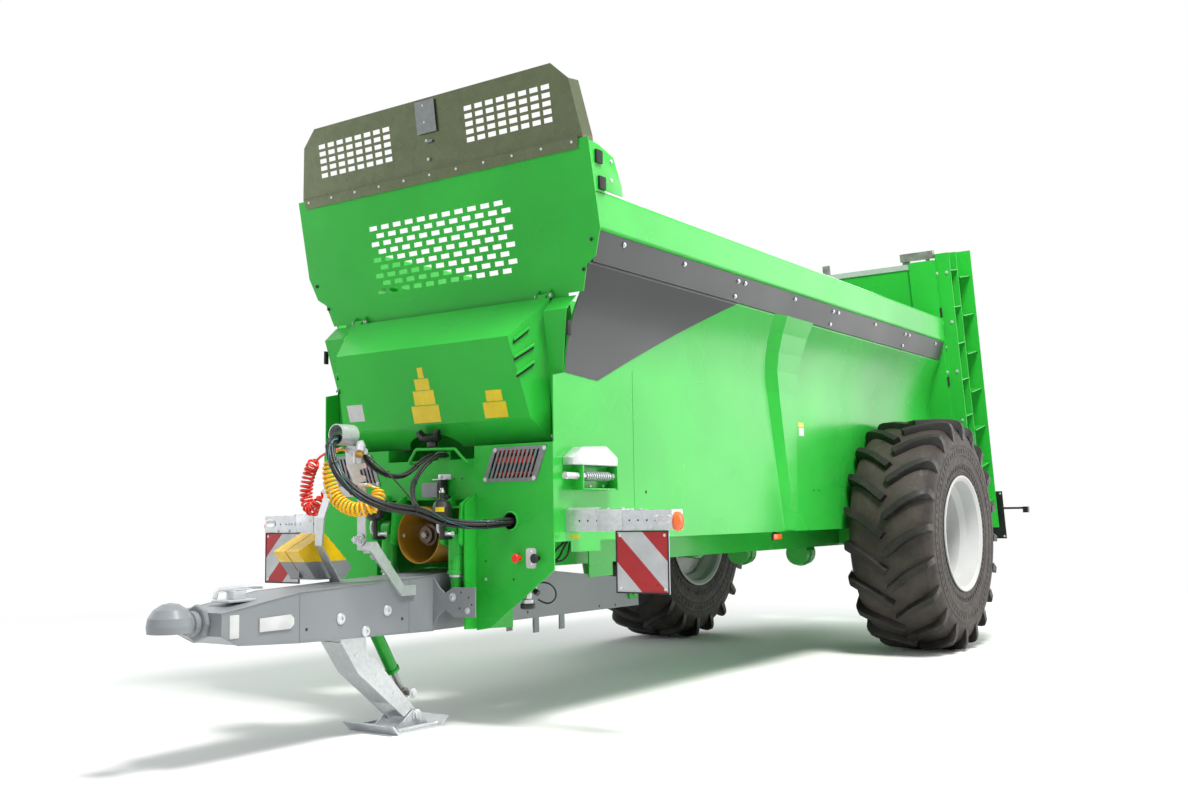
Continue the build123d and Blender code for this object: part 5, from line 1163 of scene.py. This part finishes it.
def add_side_dress():
    """Bolts of the grey strips, pads, blank plates, side lamps and other small parts."""
    bolts = Shape("strip_bolts")
    pads = Shape("body_pads", "black_rubber")
    seams = Shape("wall_seams", "green_paint")
    gussets = Shape("end_gussets", "green_paint")
    gusset = [(-1, 2936), (40, 2932), (172, 2895), (248, 2756), (255, 2706), (90, 2706), (80, 2858)]
    for side in SIDES:
        for y in (40, 297, 920, 1563, 1653, 2360, 2980, 3070, 3760, 4390, 4480, 5100, 5380):
            for z in (2462, 2372) if y in (40, 1563, 2980, 4390) else (2462,):
                # The strip leans out 44 mm over its 153 mm of height
                x = 968 + (z - 2342) * 44 / 153 + 3.4
                bolts.bolt((side * x, y, z), (side * 0.96, 0, -0.28), 9)
        for y, z in ((0, 2867), (26, 2735)):
            pads.block((side * 1028.6, side * 1042), (y, y + 58), (z - 34, z + 34), 4)
        for z in (2770, 2870):
            bolts.bolt((side * 1028.6, 150, z), (side, 0, 0), 7)
        gussets.plate([(side * 1023.5, y, z) for y, z in gusset], (side * 5, 0, 0), 0.5)
        pads.block((side * 872, side * 884), (-46, -18), (1960, 2036), 3)
        for x, z in ((1000, 2440), (930, 2300)):
            pads.rivet((side * x, (END_TOP - z) * END_LEAN - 101, z), (0, -1, -0.2), 10, 5)
        # Weld line down the wall behind the cowl
        seams.tube([(side * (WALL_X + 0.1), 640, z) for z in (935, 1845)], 1.2, 6)
    for colour, sizes in (("yellow", (2744, 2827, 1643, 1674)),
                          ("white", (2750, 2831, 1582, 1638))):
        outline = [(WALL_X + 0.1, y, z) for y, z in corners_of(*sizes)]
        Shape(f"side_{colour}_plate", f"plate_{colour}").plate(outline, (0.8, 0, 0))
    # Black discs on the walls: painted shade of holes
    holes = Shape("side_holes", "black_rubber")
    lamps = Shape("side_lamps", "amber_lens")
    bases = Shape("side_lamp_bases", "black_rubber")
    for side in SIDES:
        for y, z in ((2967, 1206), (3058, 1206), (760, 1180), (4960, 1206)):
            holes.rivet((side * WALL_X, y, z), (side, 0, 0), 9, 0.6)
        for y in (2381, 4700):
            bases.block((side * 800, side * 809), (y - 62, y + 62), (872, 918), 3)
            lamps.block((side * 809.2, side * 820), (y - 56, y + 56), (877, 913), 5)
            bases.block((side * 790, side * 803), (y - 20, y + 20), (915, 931), 2)


def add_screen_dress():
    """Bolts and middle seam of the screen, its foot strip and a small dull plate."""
    lean = 0.15
    out = (0, -1, -lean)

    def face(x, z, lift=4.5):
        """A point on the front of the screen, which leans forward towards its top."""
        return (x, -88 - lift - (z - 2900) * lean, z)

    bolts = Shape("screen_bolts")
    for k in range(11):
        bolts.bolt(face(-960 + 192 * k, 2925), out, 8)
    for z in (3010, 3110, 3210, 3300):
        bolts.bolt(face(0, z), out, 6)
    # The foot strip's darker zinc is a painted dark reflection
    trim = Shape("screen_foot_strip", "screen_zinc")
    corners = ((-990, 2888), (990, 2888), (1000, 2946), (-1000, 2946))
    trim.plate([(x, (END_TOP - z) * END_LEAN - 103, z) for x, z in corners], (0, 1.4, 0.2))
    trim.tube([(-1000, -105, 2947), (1000, -105, 2947)], 2.6, 8)
    patch = Shape("screen_patch", "dull_zinc")
    for sizes, lift in (((-60, 80, 3150, 3325), 1.5), ((-8, 40, 3098, 3112), 2.0)):
        patch.plate([face(x, z) for x, z in corners_of(*sizes)], (0, -lift, 0.2))
    patch.rivet(face(10, 3240, 6), out, 7, 1)


GATE_FOOT = (5610, 1000)     # y and z from which the leaning back is set out
GATE_LEAN = atan(0.2)
GATE_UP = Vector((0, -sin(GATE_LEAN), cos(GATE_LEAN)))
GATE_BACK = Vector((0, cos(GATE_LEAN), sin(GATE_LEAN)))


def on_gate(x, depth, height):
    """A point given from the leaning plane of the tailgate, as its solids are."""
    return Vector((x, *GATE_FOOT)) + GATE_BACK * depth + GATE_UP * height


def add_rear_dress():
    """Pads, bolts, clamps and lamps at the back."""
    tilt = Matrix.Rotation(GATE_LEAN, 4, "X")
    pads = Shape("post_pads", "black_rubber")
    bolts = Shape("post_bolts")
    rings = Shape("cylinder_rings", "green_paint")
    for side in SIDES:
        for height in (1780, 1610, 1180, 760):
            x, y, z = on_gate(side * 1000.4, 30, height)
            pads.block((x, x + side * 9), (y - 20, y + 20), (z - 42, z + 42), 3, tilt)
        for height in (2120, 1690, 1260, 830, 400, 60):
            bolts.bolt(on_gate(side * 1000.3, 44, height), (side, 0, 0), 11)
            bolts.bolt(on_gate(side * 1075, 73, height), -GATE_BACK, 10)
        for height in (760, 1500, 2140):
            rings.ring(36.3, 42, 34, on_gate(side * 930, 48, height), GATE_UP, 32)
    lenses = {finish: Shape(f"tail_{finish}", finish)
              for finish in ("red_lens", "amber_lens", "clear_lens")}
    rims = Shape("tail_lamp_rims", "black_rubber")
    screws = Shape("light_board_bolts")
    for side in SIDES:
        for height, finish in ((20, "red_lens"), (-120, "amber_lens"), (-260, "clear_lens")):
            place = on_gate(side * 1078, 690.3, height)
            rims.lathe([(0, 0), (58, 0), (58, 12), (52, 16), (0, 16)], place, GATE_BACK, 40)
            lenses[finish].lathe([(0, 16), (50, 16), (50, 22), (44, 27), (38, 28), (30, 27),
                                  (22, 29), (0, 30)], place, GATE_BACK, 40)
        for height in (62, -333):
            for x in (1003, 1152):
                screws.bolt(on_gate(side * x, 681.8, height), -GATE_BACK, 7)
                screws.bolt(on_gate(side * x, 690.2, height), GATE_BACK, 7)
    Shape("post_yellow_plate", "plate_yellow").block((1001, 1002), (5640, 5672), (1560, 1640), 0.3)
    reflectors = Shape("gate_reflectors", "red_plastic", "tailgate")
    for side in SIDES:
        x, y, z = on_gate(side * 640, 58.6, 1300)
        reflectors.block((x - 40, x + 40), (y, y + 6), (z - 30, z + 30), 2, tilt)


SCREW_Z = 1257               # the screws of the chain tensioners


def add_tensioners():
    """Chain tensioners: green bracket, zinc cover, screw with its nuts and spring."""
    brackets = Shape("tensioner_brackets", "green_paint", replaces="tensioners")
    covers = Shape("tensioner_covers", "galvanised")
    screws = Shape("tensioner_screws")
    sleeves = Shape("tensioner_sleeves", "plate_white")
    profile = [(-20, 1311), (-20, 1350), (65, 1403), (282, 1412), (385, 1355), (385, 1311)]
    for side in SIDES:
        wall = side * WALL_X
        near, edge, far = wall + side * 8, wall + side * 66, wall + side * 70
        centre = wall + side * 40
        brackets.block((wall, near), (60, 380), (1186, 1310), 1.5)
        for y in (60, 370):
            brackets.block((near, far), (y, y + 10), (1186, 1310), 2)
        brackets.block((near, edge), (70, 370), (1186, 1194), 1.5)
        covers.plate([(wall, y, z) for y, z in profile], (side * 66, 0, 0), bevel=7)
        screws.tube([(centre, -60, SCREW_Z), (centre, 368, SCREW_Z)], 9, 16)
        for y in (-56, 30, 84, 348):
            screws.disc(19, 17, (centre, y, SCREW_Z), BACK, 6)
        for k in range(11):
            screws.ring(18, 25, 6, (centre, 112 + 20 * k, SCREW_Z), (0, 1, 0.12), 24)
        sleeves.ring(9.5, 17, 64, (centre, -36, SCREW_Z), BACK, 24)
        for y in (96, 210, 330):
            screws.rivet((wall + side * 8.2, y, 1206), (side, 0, 0), 10, 4)


add_camera()
add_cords()
add_world()
add_floor()
for name, place, target, size, power, colour in (
    ("sun", (4.1, -2.6, 9.2), (0.0, -0.2, 1.2), 2.4, 1250, (1.0, 0.985, 0.95)),
    ("sheen", (7.0, 9.0, 3.2), (0.8, 0.5, 1.4), 7.0, 420, (1.0, 1.0, 0.98)),
    ("front", (1.0, -9.5, 6.5), (0.0, -1.5, 1.2), 5.0, 90, (1.0, 0.99, 0.97)),
    ("fill", (-7.5, -4.5, 4.0), (0.0, 0.5, 1.2), 6.0, 170, (0.95, 0.98, 1.0)),
    ("back", (-3.0, 9.0, 7.0), (0.0, 1.0, 1.0), 6.0, 500, (1, 1, 1)),
):
    add_area(name, place, target, size, power, colour)
dress_nodes()
add_hose_dress()
for side, name in LEFT_RIGHT:
    add_tyre(name, side)
for side, name in LEFT_RIGHT:
    add_wheel_dress(name, side)
for dress in (
    add_marker_boards, add_hood_dress, add_console_dress, add_valve_dress, add_holder_dress,
    add_suspension_dress, add_shaft_dress, add_drawbar_dress, add_stand_dress, add_chock_dress,
    add_side_dress, add_screen_dress, add_rear_dress, add_tensioners,
):
    dress()
for shape in Shape.made:
    shape.add_to_scene()
bpy.context.scene.view_settings.view_transform = "Standard"
